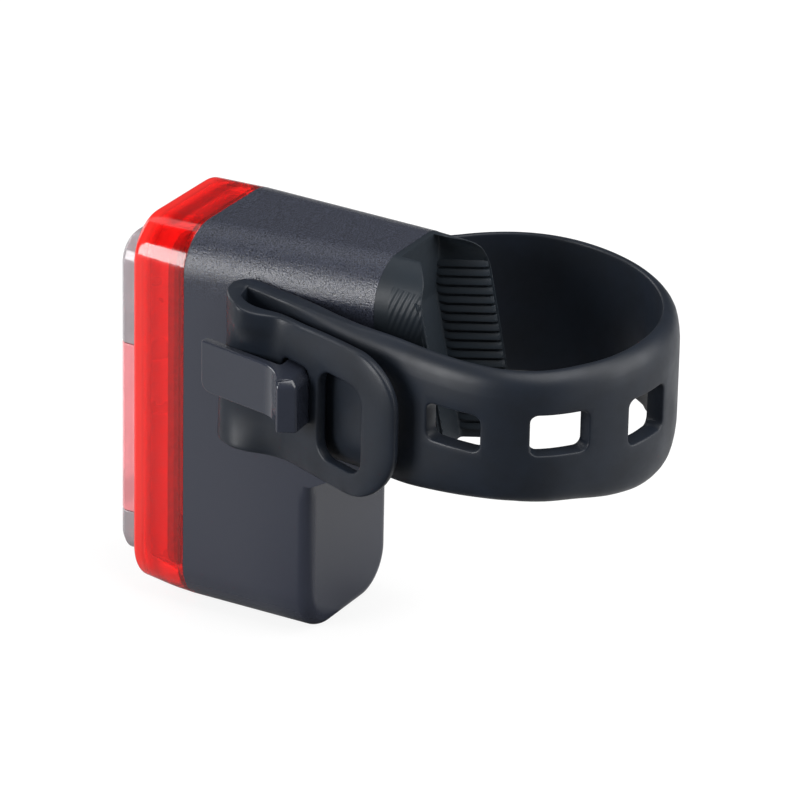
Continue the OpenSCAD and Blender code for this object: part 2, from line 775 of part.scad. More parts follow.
// Plan of the hook: a block, a blade that points to the lens, and a hollow thumb ramp
module hook_profile() {
  top = blade_x + blade_t;
  block_y = hook_back - block_l;
  translate([-eps, block_y]) square([top + eps, block_l]);
  translate([blade_x, hook_tip + 0.6]) square([blade_t, hook_back - hook_tip - 0.6]);
  translate([blade_x, hook_tip]) square([blade_t - 0.6, 1]);
  translate([top - 0.6, hook_tip + 0.6]) circle(0.6);
  ramp_l = block_l + 4;
  ramp_r = (pow(ramp_l, 2) + pow(ridge_out, 2)) / (2 * ridge_out);
  difference() {
    translate([top - eps, hook_back - ramp_l]) square([ridge_out + eps, ramp_l]);
    translate([top + ramp_r, hook_back - ramp_l]) circle(ramp_r, $fn = 96);
  }
}

module hook_screws() {
  color([0.7, 0.7, 0.72])
  near_face() hook_screw_places() rotate([0, -90, 0]) {
    translate([0, 0, -screw_bite]) cylinder(d = hook_screw_d - 0.2, h = in_wall - foot_t + screw_bite + head_t);
    translate([0, 0, in_wall - foot_t + 0.05]) cylinder(d = hook_screw_d + 1.6, h = head_t);
  }
}

module strap_stud() {
  color([0.05, 0.05, 0.055])
  far_face() translate([-foot_t, stud_y, strap_z]) rotate([0, 90, 0]) difference() {
    union() {
      cylinder(d = stud_d + 2, h = foot_t);
      cylinder(d = stud_d, h = foot_t + strap_t + 2 * lay_gap + eps);
      translate([0, 0, foot_t + strap_t + 2 * lay_gap]) cylinder(d1 = stud_head, d2 = stud_head - 1.2, h = stud_head_t);
    }
    translate([0, 0, -1]) cylinder(d = stud_screw_d - 0.2, h = 5);
  }
}

module stud_screw() {
  color([0.7, 0.7, 0.72])
  far_face() translate([-foot_t, stud_y, strap_z]) rotate([0, -90, 0]) {
    translate([0, 0, -3.5]) cylinder(d = stud_screw_d - 0.2, h = 3.5 + in_wall - foot_t + head_t);
    translate([0, 0, in_wall - foot_t + 0.05]) cylinder(d = stud_screw_d + 1.8, h = head_t);
  }
}

// Section of the strap, with its long edges eased
module strap_section(r, low, top) {
  e = 0.6;
  a = r - strap_t / 2;
  b = r + strap_t / 2;
  polygon([[a + e, low], [b - e, low], [b, low + e], [b, top - e], [b - e, top], [a + e, top], [a, top - e], [a, low + e]]);
}

module band(c, r, a0, a1, low, top) {
  translate([c[0], c[1], 0]) rotate([0, 0, a0]) rotate_extrude(angle = a1 - a0, $fn = 180) strap_section(r, low, top);
}

// Straight run along the near face, at a distance off it
module run(off, y0, y1, low, top) {
  near_face() translate([off, y1, 0]) rotate([90, 0, 0]) linear_extrude(y1 - y0)
    strap_section(0, low, top);
}

module strap_hole(l, h) {
  rotate([90, 0, 90]) translate([0, 0, -3 * strap_t]) linear_extrude(6 * strap_t) rrect(l, h, 1.4);
}

// Fixed end: from the stud along the far face, round to the open line
module strap_anchor() {
  color([0.08, 0.08, 0.085])
  mirror([1, 0, 0]) difference() {
    union() {
      run(run_off, stud_y - 6, run_end(far_c) + eps, strap_low, strap_top);
      band(bend_c(far_c), bend_r, 180 + side_draft, 180 + loop_end(far_c), strap_low, strap_top);
      band([far_c, loop_y], loop_m, loop_end(far_c) - eps, 180 - open_at - 0.4, strap_low, strap_top);
    }
    near_face() translate([0, stud_y, strap_z]) rotate([0, 90, 0]) cylinder(d = stud_d + 2 * lay_gap, h = 9);
  }
}

// The loop round the post, with its free holes
module strap_loop() {
  color([0.08, 0.08, 0.085])
  difference() {
    band([near_c, loop_y], loop_m, loop_end(near_c), open_at - 0.4, strap_low, strap_top);
    for (k = [0 : hole_n - 1])
      translate([near_c, loop_y, strap_z + 0.2]) rotate([0, 0, hole_first + k * hole_step])
        translate([loop_m, 0, 0]) strap_hole(hole_l, hole_h);
  }
}

// Outline of the run and the tail, seen from the side: they widen towards the fold
module side_outline(low, top) {
  fold_low = fold_z - fold_h;
  fold_top = fold_z + fold_h;
  wide_y = 20;
  rotate([90, 0, 90]) linear_extrude(3 * housing_w)
    polygon([[0, fold_low], [fold_y, fold_low], [wide_y, low], [2 * seam_y, low],
      [2 * seam_y, top], [seam_y, top], [wide_y, min(top, fold_top - 1.9)], [fold_y, fold_top], [0, fold_top]]);
}

module hook_hole(y0) {
  near_face() translate([0, y0, hook_z - hook_h / 2 - hook_gap])
    cube([30, hook_back + hook_gap - y0, hook_h + 2 * hook_gap]);
}

tall = 2 * fold_h;
fold_c = fold_y + fold_r + strap_t / 2;

// Inner layer along the near face, hooked at its hole, with half of the fold
module strap_run() {
  color([0.08, 0.08, 0.085])
  difference() {
    intersection() {
      union() {
        run(run_off, fold_c - eps, run_end(near_c) + eps, fold_z - tall, fold_z + tall);
        band(bend_c(near_c), bend_r, 180 + side_draft, 180 + loop_end(near_c), fold_z - tall, fold_z + tall);
        near_face() translate([run_off + fold_r, fold_c, 0]) rotate([0, 0, 180])
          rotate_extrude(angle = 90) strap_section(fold_r, fold_z - tall, fold_z + tall);
      }
      side_outline(strap_low, strap_top);
    }
    hook_hole(hook_back - block_l - hook_gap);
  }
}

// Frame of the tab: x off the loop's middle, y along the tab
module tab_face() {
  translate([near_c, loop_y, 0]) rotate([0, 0, -tab_lean]) children();
}

module tab_strip(y0, y1, low, top) {
  tab_face() translate([tab_d, y1, 0]) rotate([90, 0, 0]) linear_extrude(y1 - y0)
    strap_section(0, low, top);
}

// Outer layer from the fold to the tab's root, with the hole that the hook comes through
module strap_tail() {
  color([0.08, 0.08, 0.085])
  difference() {
    union() {
      tail_part() run(tail_off, fold_c - eps, tail_end + eps, fold_z - tall, fold_z + tall);
      tail_part() near_face() translate([tail_off + tail_r, tail_end, 0]) rotate([0, 0, 180 - turn])
        rotate_extrude(angle = turn) strap_section(tail_r, fold_z - tall, fold_z + tall);
      tail_part() tab_strip(tab_start - eps, -tab_root, fold_z - tall, fold_z + tall);
      tail_part() near_face() translate([run_off + fold_r, fold_c, 0]) rotate([0, 0, 270])
        rotate_extrude(angle = 90) strap_section(fold_r, fold_z - tall, fold_z + tall);
    }
    hook_hole(hook_back - block_l - hook_gap);
  }
}

module tail_part() {
  intersection() {
    children();
    side_outline(tab_low, tab_top);
  }
}

// Free end of the tail: a round pull tab with a finger slot
module pull_tab() {
  color([0.08, 0.08, 0.085])
  difference() {
    intersection() {
      tab_strip(fit - tab_root, tab_end + 1, tab_low, tab_top);
      tab_face() rotate([90, 0, 90]) linear_extrude(3 * housing_w) tab_outline();
    }
    tab_face() translate([0, tab_end - slot_in - slot_l / 2, (tab_top + tab_low) / 2 - 0.5])
      rotate([90, 0, 90]) linear_extrude(3 * housing_w) rrect(slot_l, slot_h, 2.4);
  }
}

module tab_outline() {
  y0 = -tab_root;
  translate([y0, tab_low]) square([tab_end - tab_r2 - y0, tab_r2 + 1]);
  translate([y0, tab_top - tab_r - 1]) square([tab_end - tab_r - y0, tab_r + 1]);
  translate([y0, tab_low + tab_r2]) square([tab_end - y0, tab_top - tab_low - tab_r - tab_r2]);
  translate([tab_end - tab_r, tab_top - tab_r]) circle(tab_r);
  translate([tab_end - tab_r2, tab_low + tab_r2]) circle(tab_r2);
}

at_post() {
  housing();
  saddle_pad();
  lens_cap();
  lens_seal();
  window_plate();
  button_bezel();
  lower_bezel();
  light_guide();
  reflector_tray();
  circuit_board();
  lamps();
  tact_switch();
  switch_plunger();
  mode_button();
  stem_seal();
  usb_socket();
  battery_cell();
  battery_foam();
  battery_leads();
  board_screws();
  port_cover();
  cover_anchor();
  strap_hook();
  hook_screws();
  strap_stud();
  stud_screw();
  strap_anchor();
  strap_loop();
  strap_run();
  strap_tail();
  pull_tab();
}
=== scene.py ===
import bpy, bmesh, json, math
import numpy as np
from mathutils import Matrix, Vector
from mathutils.geometry import delaunay_2d_cdt

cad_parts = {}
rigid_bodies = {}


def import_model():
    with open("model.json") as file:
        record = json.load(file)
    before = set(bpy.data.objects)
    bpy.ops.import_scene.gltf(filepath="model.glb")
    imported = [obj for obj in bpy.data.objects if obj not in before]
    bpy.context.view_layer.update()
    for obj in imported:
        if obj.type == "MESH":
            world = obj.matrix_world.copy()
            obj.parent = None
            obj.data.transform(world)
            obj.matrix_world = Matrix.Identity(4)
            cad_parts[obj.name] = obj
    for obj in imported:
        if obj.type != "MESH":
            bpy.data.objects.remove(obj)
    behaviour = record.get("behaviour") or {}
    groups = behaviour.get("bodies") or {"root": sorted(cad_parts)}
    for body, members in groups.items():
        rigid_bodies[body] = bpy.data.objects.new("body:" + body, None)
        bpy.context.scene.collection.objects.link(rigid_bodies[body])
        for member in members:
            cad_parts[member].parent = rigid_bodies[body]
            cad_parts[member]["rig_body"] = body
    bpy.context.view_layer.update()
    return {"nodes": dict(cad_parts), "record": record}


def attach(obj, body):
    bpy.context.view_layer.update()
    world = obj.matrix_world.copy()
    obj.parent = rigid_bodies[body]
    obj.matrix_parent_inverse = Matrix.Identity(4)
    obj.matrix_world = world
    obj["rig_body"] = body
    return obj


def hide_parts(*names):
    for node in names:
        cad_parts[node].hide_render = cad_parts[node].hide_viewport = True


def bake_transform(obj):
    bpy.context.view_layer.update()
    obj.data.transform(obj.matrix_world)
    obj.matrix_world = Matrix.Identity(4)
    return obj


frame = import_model()
scene = bpy.context.scene
scene.view_settings.view_transform = "Standard"
print("frame loaded:", len(frame["nodes"]), "nodes")

# the light's own frame is in mm: seam at y 0, mid-height at z 0, hook on the +x side
postPlace = np.array([0.0, 46.7416, 13.8])


def rowPoints(points):
    return (np.asarray(points, float) - postPlace) * 0.001


def smoothStep(low, high, value):
    t = np.clip((np.asarray(value, float) - low) / (high - low), 0, 1)
    return t * t * (3 - 2 * t)


def softInterp(value, places, levels, width=1.5):
    return sum(np.interp(np.asarray(value) + d, places, levels) for d in np.linspace(-width, width, 9)) / 9


# camera, fitted to the photo, and lamps
cameraSet = {"turn": 29.87, "tilt": 25.07, "roll": -1.18, "shiftRight": -23.21, "shiftDown": -1.22,
             "distance": 825.4, "lens": 270.0}


def placeCamera(s):
    a, e, r = (math.radians(s[k]) for k in ("turn", "tilt", "roll"))
    right = np.array([-math.sin(a), math.cos(a), 0])
    down = np.array([math.cos(a) * math.sin(e), math.sin(a) * math.sin(e), -math.cos(e)])
    ahead = np.array([-math.cos(a) * math.cos(e), -math.sin(a) * math.cos(e), -math.sin(e)])
    rows = np.array([math.cos(r) * right + math.sin(r) * down, -math.sin(r) * right + math.cos(r) * down, ahead])
    eye = rowPoints(rows.T @ np.array([-s["shiftRight"], -s["shiftDown"], -s["distance"]]))
    data = bpy.data.cameras.new("photoCamera")
    data.lens, data.sensor_width, data.clip_start, data.clip_end = s["lens"], 36, 0.01, 20
    camera = bpy.data.objects.new("photoCamera", data)
    turn = Matrix(np.array([rows[0], -rows[1], -rows[2]]).T.tolist()).to_4x4()
    camera.matrix_world = Matrix.Translation(Vector(eye)) @ turn
    scene.collection.objects.link(camera)
    scene.camera = camera


placeCamera(cameraSet)

lampSet = {
    "key": {"from": (0.86, -0.45, 0.25), "away": 0.85, "size": (0.40, 0.44), "watts": 8.0},
    "top": {"from": (-0.26, -0.45, 0.85), "away": 0.80, "size": (0.35, 0.35), "watts": 0.5},
    "sky": {"from": (0.0, 0.45, 0.89), "away": 0.80, "size": (0.7, 0.7), "watts": 7.5},
    "front": {"from": (-0.10, -0.90, 0.35), "away": 0.60, "size": (0.35, 0.35), "watts": 1.5},
    "back": {"from": (-0.40, 0.85, 0.30), "away": 0.80, "size": (0.6, 0.6), "watts": 6.0},
}


def placeLamp(name, s):
    data = bpy.data.lights.new(name, "AREA")
    data.shape, data.size, data.size_y, data.energy = "RECTANGLE", s["size"][0], s["size"][1], s["watts"]
    lamp = bpy.data.objects.new(name, data)
    way = Vector(s["from"]).normalized()
    lamp.location = way * s["away"] + Vector((0, -0.02, -0.01))
    lamp.rotation_euler = way.to_track_quat("Z", "Y").to_euler()
    scene.collection.objects.link(lamp)


for lampName, lampSizes in lampSet.items():
    placeLamp(lampName, lampSizes)


# how bright the pale room looks to each kind of ray
roomSet = {"other": 0.30, "camera": 1.0, "glossy": 0.10, "through": 1.2}


def roomLevel(tree, s, glossy=None):
    path = tree.nodes.new("ShaderNodeLightPath")
    level = None
    for ray, key in (("Is Glossy Ray", "glossy"), ("Is Transmission Ray", "through"), ("Is Camera Ray", "camera")):
        mix = tree.nodes.new("ShaderNodeMix")
        mix.data_type = "FLOAT"
        mix.inputs[2].default_value, mix.inputs[3].default_value = s["other"], s[key]
        tree.links.new(path.outputs[ray], mix.inputs[0])
        if level is not None:
            tree.links.new(level, mix.inputs[2])
        elif glossy is not None:
            tree.links.new(glossy, mix.inputs[3])
        level = mix.outputs[0]
    return level


world = bpy.data.worlds.new("paleRoom")
scene.world = world
world.use_nodes = True
skyNode = world.node_tree.nodes["Background"]
skyNode.inputs["Color"].default_value = (1, 1, 1, 1)
world.node_tree.links.new(roomLevel(world.node_tree, roomSet), skyNode.inputs["Strength"])

floorSet = {"half": 2.5, "z": -0.04255, "shadow": 0.14, "other": 0.42, "camera": 1.0, "glossy": 0.42, "through": 1.2,
            "flag": 0.06, "flagFrom": (0.0, -0.03), "flagTurn": 30.0}


# a dark flag on the camera's side dims what the floor gives to reflections there
def flagLevel(tree, s):
    coords = tree.nodes.new("ShaderNodeTexCoord")
    shift, unit, dot = (tree.nodes.new("ShaderNodeVectorMath") for _ in range(3))
    shift.operation, unit.operation, dot.operation = "SUBTRACT", "NORMALIZE", "DOT_PRODUCT"
    shift.inputs[1].default_value = (*s["flagFrom"], s["z"])
    turn = math.radians(s["flagTurn"])
    dot.inputs[1].default_value = (math.cos(turn), math.sin(turn), 0)
    tree.links.new(coords.outputs["Object"], shift.inputs[0])
    tree.links.new(shift.outputs[0], unit.inputs[0])
    tree.links.new(unit.outputs[0], dot.inputs[0])
    level = tree.nodes.new("ShaderNodeMapRange")
    for key, number in (("From Min", 0.55), ("From Max", 0.90), ("To Min", s["glossy"]), ("To Max", s["flag"])):
        level.inputs[key].default_value = number
    tree.links.new(dot.outputs["Value"], level.inputs["Value"])
    return level.outputs["Result"]


def layFloor(s):
    mesh = bpy.data.meshes.new("paleFloor")
    h = s["half"]
    mesh.from_pydata([(-h, -h, s["z"]), (h, -h, s["z"]), (h, h, s["z"]), (-h, h, s["z"])], [], [(0, 1, 2, 3)])
    floor = bpy.data.objects.new("paleFloor", mesh)
    scene.collection.objects.link(floor)
    paint = bpy.data.materials.new("floorPaint")
    paint.use_nodes = True
    tree = paint.node_tree
    matte = tree.nodes.new("ShaderNodeBsdfDiffuse")
    glow = tree.nodes.new("ShaderNodeEmission")
    both = tree.nodes.new("ShaderNodeMixShader")
    path = tree.nodes.new("ShaderNodeLightPath")
    tree.links.new(roomLevel(tree, s, flagLevel(tree, s)), matte.inputs["Color"])
    share = tree.nodes.new("ShaderNodeMath")
    share.operation = "MULTIPLY"
    share.inputs[1].default_value = 1 - s["shadow"]
    tree.links.new(path.outputs["Is Camera Ray"], share.inputs[0])
    tree.links.new(share.outputs[0], both.inputs["Fac"])
    tree.links.new(matte.outputs[0], both.inputs[1])
    tree.links.new(glow.outputs[0], both.inputs[2])
    tree.links.new(both.outputs[0], tree.nodes["Material Output"].inputs["Surface"])
    mesh.materials.append(paint)


layFloor(floorSet)
print("camera, lamps and floor placed")


# every finish starts here and adds its own grain or waves
def newFinish(name, color, rough, **sockets):
    finish = bpy.data.materials.new(name)
    finish.use_nodes = True
    tree = finish.node_tree
    shader = tree.nodes["Principled BSDF"]
    shader.inputs["Base Color"].default_value = (*color, 1)
    shader.inputs["Roughness"].default_value = rough
    for key, value in sockets.items():
        shader.inputs[key.replace("_", " ")].default_value = value
    coords = tree.nodes.new("ShaderNodeTexCoord")
    return finish, tree, shader, coords.outputs["Object"]


def addNoise(tree, coords, scale, detail=2.0, rough=0.5, kind="ShaderNodeTexNoise"):
    node = tree.nodes.new(kind)
    node.inputs["Scale"].default_value = scale
    if kind == "ShaderNodeTexNoise":
        node.inputs["Detail"].default_value = detail
        node.inputs["Roughness"].default_value = rough
    tree.links.new(coords, node.inputs["Vector"])
    return node.outputs["Fac"] if kind == "ShaderNodeTexNoise" else node.outputs["Distance"]


def addRange(tree, value, low, high, fromLow=0.0, fromHigh=1.0):
    node = tree.nodes.new("ShaderNodeMapRange")
    for key, number in (("From Min", fromLow), ("From Max", fromHigh), ("To Min", low), ("To Max", high)):
        node.inputs[key].default_value = number
    tree.links.new(value, node.inputs["Value"])
    return node.outputs["Result"]


def addRamp(tree, value, stops):
    node = tree.nodes.new("ShaderNodeValToRGB")
    ramp = node.color_ramp
    while len(ramp.elements) < len(stops):
        ramp.elements.new(0.5)
    for element, (place, color) in zip(ramp.elements, stops):
        element.position, element.color = place, (*color, 1)
    tree.links.new(value, node.inputs["Fac"])
    return node.outputs["Color"]


def addBump(tree, shader, height, strength, distance, under=None):
    node = tree.nodes.new("ShaderNodeBump")
    node.inputs["Strength"].default_value = strength
    node.inputs["Distance"].default_value = distance
    tree.links.new(height, node.inputs["Height"])
    if under is not None:
        tree.links.new(under, node.inputs["Normal"])
    tree.links.new(node.outputs["Normal"], shader.inputs["Normal"])
    return node.outputs["Normal"]


def tint(color, factor):
    return tuple(min(1.0, c * factor) for c in color)


def placeParts(tree):
    coords = next(n for n in tree.nodes if n.bl_idname == "ShaderNodeTexCoord").outputs["Object"]
    split = tree.nodes.new("ShaderNodeSeparateXYZ")
    tree.links.new(coords, split.inputs[0])
    return split.outputs


# grain that shows from one height up and fades out below another; on the housing its strong colour spread up top is
# partly the real grain and partly painted glints where the key light falls
def fadeDown(tree, fine, low, high):
    less, scaled = tree.nodes.new("ShaderNodeMath"), tree.nodes.new("ShaderNodeMath")
    less.operation, scaled.operation = "SUBTRACT", "MULTIPLY_ADD"
    less.inputs[1].default_value = scaled.inputs[2].default_value = 0.5
    tree.links.new(fine, less.inputs[0])
    tree.links.new(less.outputs[0], scaled.inputs[0])
    tree.links.new(addRange(tree, placeParts(tree)["Z"], 0.03, 1.0, low, high), scaled.inputs[1])
    return scaled.outputs[0]


# moulded plastic: spark-eroded grain, faint blotches, rubbed to a dull gloss
def mouldedFinish(name, color, rough, grain, depth, spread=0.18, gloss=0.08, fade=None):
    finish, tree, shader, coords = newFinish(name, color, rough)
    fine = addNoise(tree, coords, grain, 2.5, 0.6)
    if fade is not None:
        fine = fadeDown(tree, fine, *fade)
    tree.links.new(addRamp(tree, fine, [(0.32, tint(color, 1 - spread)), (0.68, tint(color, 1 + spread))]),
                   shader.inputs["Base Color"])
    tree.links.new(addRange(tree, fine, rough - gloss, rough + gloss, 0.3, 0.7), shader.inputs["Roughness"])
    addBump(tree, shader, fine, depth, 0.0001)
    return finish


# silicone rubber: soft dull gloss, faint mould flow and dust
def siliconeFinish(name, color, rough, dust=0.25):
    finish, tree, shader, coords = newFinish(name, color, rough, Specular_IOR_Level=0.26)
    flow = addNoise(tree, coords, 160, 4, 0.6)
    tree.links.new(addRamp(tree, flow, [(0.3, tint(color, 1 - dust)), (0.75, tint(color, 1 + dust))]),
                   shader.inputs["Base Color"])
    tree.links.new(addRange(tree, flow, rough + 0.07, rough - 0.07, 0.3, 0.7), shader.inputs["Roughness"])
    fine = addNoise(tree, coords, 2600, 2, 0.5)
    addBump(tree, shader, fine, 0.18, 0.00002)
    return finish


def clearFinish(name, color, rough, ior, through, ripple):
    finish, tree, shader, coords = newFinish(name, color, rough, IOR=ior, Transmission_Weight=through)
    wave = addNoise(tree, coords, 240, 2)
    tree.links.new(addRange(tree, wave, rough * 0.6, rough * 1.5, 0.3, 0.7), shader.inputs["Roughness"])
    addBump(tree, shader, wave, ripple, 0.00004)
    return finish


def metalFinish(name, color, rough):
    finish, tree, shader, coords = newFinish(name, color, rough, Metallic=1.0)
    wear = addNoise(tree, coords, 700, 4, 0.65)
    tree.links.new(addRange(tree, wear, rough - 0.12, rough + 0.15, 0.3, 0.7), shader.inputs["Roughness"])
    addBump(tree, shader, wear, 0.12, 0.00003)
    return finish


# housing: grain colour spread strong only on the upper part, real grain plus painted glints along the lit top
housingFinish = mouldedFinish("charcoalHousing", (0.024, 0.027, 0.039), 0.17, 4800, 0.90, 0.65, 0.06, (0.0045, 0.0085))
hookFinish = mouldedFinish("charcoalHook", (0.019, 0.022, 0.032), 0.16, 3000, 0.01, 0.03, 0.02)
strapFinish = siliconeFinish("strapSilicone", (0.0080, 0.0110, 0.0170), 0.42)
padFinish = siliconeFinish("padRubber", (0.011, 0.0155, 0.021), 0.48, 0.18)


# fine slanting lines over the outer half of the pad's sides
def addPadLines(finish):
    tree = finish.node_tree
    shader = tree.nodes["Principled BSDF"]
    under = shader.inputs["Normal"].links[0].from_socket
    place = placeParts(tree)

    def mathNode(op, a, b):
        node = tree.nodes.new("ShaderNodeMath")
        node.operation = op
        for k, value in enumerate((a, b)):
            if isinstance(value, (int, float)):
                node.inputs[k].default_value = value
            elif value is not None:
                tree.links.new(value, node.inputs[k])
        return node.outputs[0]

    phase = mathNode("SUBTRACT", mathNode("MULTIPLY", place["Y"], 7380.0), mathNode("MULTIPLY", place["Z"], 2670.0))
    wave = mathNode("SINE", phase, None)
    outside = mathNode("GREATER_THAN", mathNode("ABSOLUTE", place["X"], None), 0.0086)
    beyond = addRange(tree, place["Y"], 0.0, 1.0, -0.0166, -0.0162)
    addBump(tree, shader, mathNode("MULTIPLY", mathNode("MULTIPLY", wave, outside), beyond), 0.35, 0.00012, under)


addPadLines(padFinish)
buttonFinish = siliconeFinish("buttonRubber", (0.020, 0.020, 0.022), 0.50)
sealFinish = siliconeFinish("sealRubber", (0.018, 0.018, 0.020), 0.55)
lensFinish = clearFinish("redLens", (0.92, 0.010, 0.008), 0.10, 1.49, 0.86, 0.02)


# painted glow: towards its thick front wall the lens gets a lighter, less clear red, standing in for light that runs
# along the wall
def addPaintedLensGlow(finish):
    tree = finish.node_tree
    shader = tree.nodes["Principled BSDF"]
    back = addRange(tree, placeParts(tree)["Y"], 0.0, 1.0, -0.0538, -0.0520)
    # painted glow: lighter red and lower transmission at the front end
    colors = addRamp(tree, back, [(0.0, (0.95, 0.028, 0.022)), (1.0, (0.92, 0.010, 0.008))])
    tree.links.new(colors, shader.inputs["Base Color"])
    tree.links.new(addRange(tree, back, 0.40, 0.90), shader.inputs["Transmission Weight"])


addPaintedLensGlow(lensFinish)
windowFinish = clearFinish("windowClear", (0.95, 0.40, 0.43), 0.10, 1.49, 0.6, 0.05)
bezelFinish = clearFinish("smokeClear", (0.55, 0.50, 0.53), 0.10, 1.49, 0.6, 0.05)
guideFinish = clearFinish("guideDiffuse", (0.95, 0.62, 0.58), 0.35, 1.49, 0.35, 0.2)
trayFinish = mouldedFinish("trayGrey", (0.15, 0.15, 0.16), 0.28, 1500, 0.05, 0.05)
steelFinish = metalFinish("screwSteel", (0.62, 0.62, 0.64), 0.30)
boardFinish = mouldedFinish("boardGreen", (0.020, 0.110, 0.045), 0.35, 900, 0.10, 0.25)
lampFinish = mouldedFinish("lampWhite", (0.80, 0.76, 0.60), 0.30, 1500, 0.10, 0.08)
switchFinish = mouldedFinish("switchBlack", (0.030, 0.030, 0.032), 0.40, 2500, 0.15)
cellFinish = mouldedFinish("cellWrap", (0.45, 0.46, 0.48), 0.28, 700, 0.12, 0.08)
foamFinish = mouldedFinish("foamGrey", (0.06, 0.06, 0.065), 0.90, 1600, 0.80, 0.30)
leadFinish = mouldedFinish("leadSleeve", (0.50, 0.03, 0.03), 0.40, 1500, 0.08, 0.10)
print("finishes made")


# a piece from points in the light's own frame
def makePiece(name, points, faces, finish, crease=42):
    mesh = bpy.data.meshes.new(name)
    mesh.from_pydata([tuple(p) for p in rowPoints(points)], [], [tuple(f) for f in faces])
    work = bmesh.new()
    work.from_mesh(mesh)
    bmesh.ops.remove_doubles(work, verts=work.verts, dist=1.5e-6)
    bmesh.ops.recalc_face_normals(work, faces=work.faces)
    for face in work.faces:
        face.smooth = True
    work.to_mesh(mesh)
    work.free()
    mesh.set_sharp_from_angle(angle=math.radians(crease))
    mesh.materials.append(finish)
    piece = bpy.data.objects.new(name, mesh)
    scene.collection.objects.link(piece)
    return piece


def bakeModifiers(piece):
    graph = bpy.context.evaluated_depsgraph_get()
    graph.update()
    mesh = bpy.data.meshes.new_from_object(piece.evaluated_get(graph))
    piece.modifiers.clear()
    old, piece.data = piece.data, mesh
    bpy.data.meshes.remove(old)
    return piece


def weighNormals(piece):
    weigh = piece.modifiers.new("weigh", "WEIGHTED_NORMAL")
    weigh.keep_sharp, weigh.weight = True, 60
    return bakeModifiers(piece)


def easeEdges(piece, edge, steps, angle):
    bevel = piece.modifiers.new("ease", "BEVEL")
    bevel.width, bevel.segments, bevel.limit_method = edge, steps, "ANGLE"
    bevel.angle_limit, bevel.miter_outer = math.radians(angle), "MITER_ARC"
    bevel.use_clamp_overlap = True
    return weighNormals(piece)


# a merged copy of a CAD node with its sharp edges eased
def easedCopy(node, finish, edge, steps=3, angle=34):
    mesh = frame["nodes"][node].data.copy()
    mesh.materials.clear()
    work = bmesh.new()
    work.from_mesh(mesh)
    bmesh.ops.remove_doubles(work, verts=work.verts, dist=2e-6)
    bmesh.ops.dissolve_limit(work, angle_limit=math.radians(0.8), verts=work.verts, edges=work.edges)
    for face in work.faces:
        face.smooth = True
        face.material_index = 0
    work.to_mesh(mesh)
    work.free()
    mesh.materials.append(finish)
    piece = bpy.data.objects.new(node + "_eased", mesh)
    scene.collection.objects.link(piece)
    return easeEdges(piece, edge, steps, angle)


nodeBody = {n: o["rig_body"] for n, o in frame["nodes"].items()}


def stand(piece, *nodes, slot=None, body=None):
    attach(piece, body or nodeBody[nodes[0]])
    if nodes:
        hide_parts(*nodes)


# strap: a flat cut in length and height, laid along its path, with rounded rims
faceSet = {"half": 12.4, "draft": 4.93}
strapSet = {"thick": 2.5, "low": 4.7, "top": 22.9, "runOff": 1.45, "tailOff": 4.15,
            "loopCentre": (-1.9, 42.0416), "loopMid": 21.744, "bend": 14.0,
            "foldLow": 1.8, "foldTop": 24.0, "foldY": 8.4, "foldMid": 11.0, "foldLead": 1.4,
            "tailEnd": 14.9258, "tailBend": 9.0, "tabLean": 20.0, "tabOff": 24.45, "tabLow": 1.2,
            "tabStart": -15.5373, "tabEnd": -1.0, "tabCurl": 6.7, "joinY": 14.2,
            "droop": 0.045, "swell": 2.4, "farDip": 1.5, "farRise": 0.95, "crown": 1.2, "bow": 0.9, "thin": 0.9,
            "studAt": 6.0, "studHole": 2.7, "endRound": 6.0,
            # angle round the loop, length, low and top edge of each hole
            "holes": ((10.6, 7.6, 11.6, 16.8), (47.0, 7.8, 11.9, 17.7), (84.0, 7.6, 10.8, 17.4)),
            # low edge, top edge and corner of the hook's two holes and the finger slot
            "hookHole": (7.9, 16.6, 0.8), "tailHole": (8.1, 16.3, 1.2), "slot": (4.5, 17.3, 2.4)}
runTop = ([8.4, 12, 15, 18, 22], [24.0, 23.8, 23.1, 22.9, 22.9])


def nearFace(off, y):
    a = math.radians(faceSet["draft"])
    return np.array([faceSet["half"] + off * math.cos(a) - y * math.sin(a), off * math.sin(a) + y * math.cos(a)])


def arcPoints(centre, radius, start, stop, step=0.05):
    count = max(8, int(abs(math.radians(stop - start)) * radius / step))
    t = np.radians(np.linspace(start, stop, count))
    return np.stack([centre[0] + radius * np.cos(t), centre[1] + radius * np.sin(t)], 1)


def linePoints(a, b, step=0.05):
    count = max(4, int(np.linalg.norm(np.subtract(b, a)) / step))
    t = np.linspace(0, 1, count)[:, None]
    return np.asarray(a) * (1 - t) + np.asarray(b) * t


class StrapPath:
    def __init__(self, stretches):
        points = np.concatenate(stretches)
        keep = np.r_[True, np.linalg.norm(np.diff(points, axis=0), axis=1) > 1e-4]
        self.points = points[keep]
        steps = np.linalg.norm(np.diff(self.points, axis=0), axis=1)
        self.s = np.r_[0, np.cumsum(steps)]
        self.length = self.s[-1]
        way = np.gradient(self.points, self.s, axis=0)
        way /= np.linalg.norm(way, axis=1)[:, None]
        self.out = np.stack([way[:, 1], -way[:, 0]], 1)

    def at(self, s):
        place = np.stack([np.interp(s, self.s, self.points[:, k]) for k in (0, 1)], 1)
        out = np.stack([np.interp(s, self.s, self.out[:, k]) for k in (0, 1)], 1)
        return place, out / np.linalg.norm(out, axis=1)[:, None]

    def nearest(self, point):
        return self.s[np.argmin(np.linalg.norm(self.points - np.asarray(point), axis=1))]


def mirrored(points):
    return points * np.array([-1, 1])


def roundedLoop(s0, s1, z0, z1, radius, count=7):
    corners = [(s1 - radius, z1 - radius, 0), (s0 + radius, z1 - radius, 90), (s0 + radius, z0 + radius, 180),
               (s1 - radius, z0 + radius, 270)]
    t = np.linspace(0, 90, count)
    loop = [np.stack([c + radius * np.cos(np.radians(t + a)), d + radius * np.sin(np.radians(t + a))], 1)
            for c, d, a in corners]
    return np.concatenate(loop)


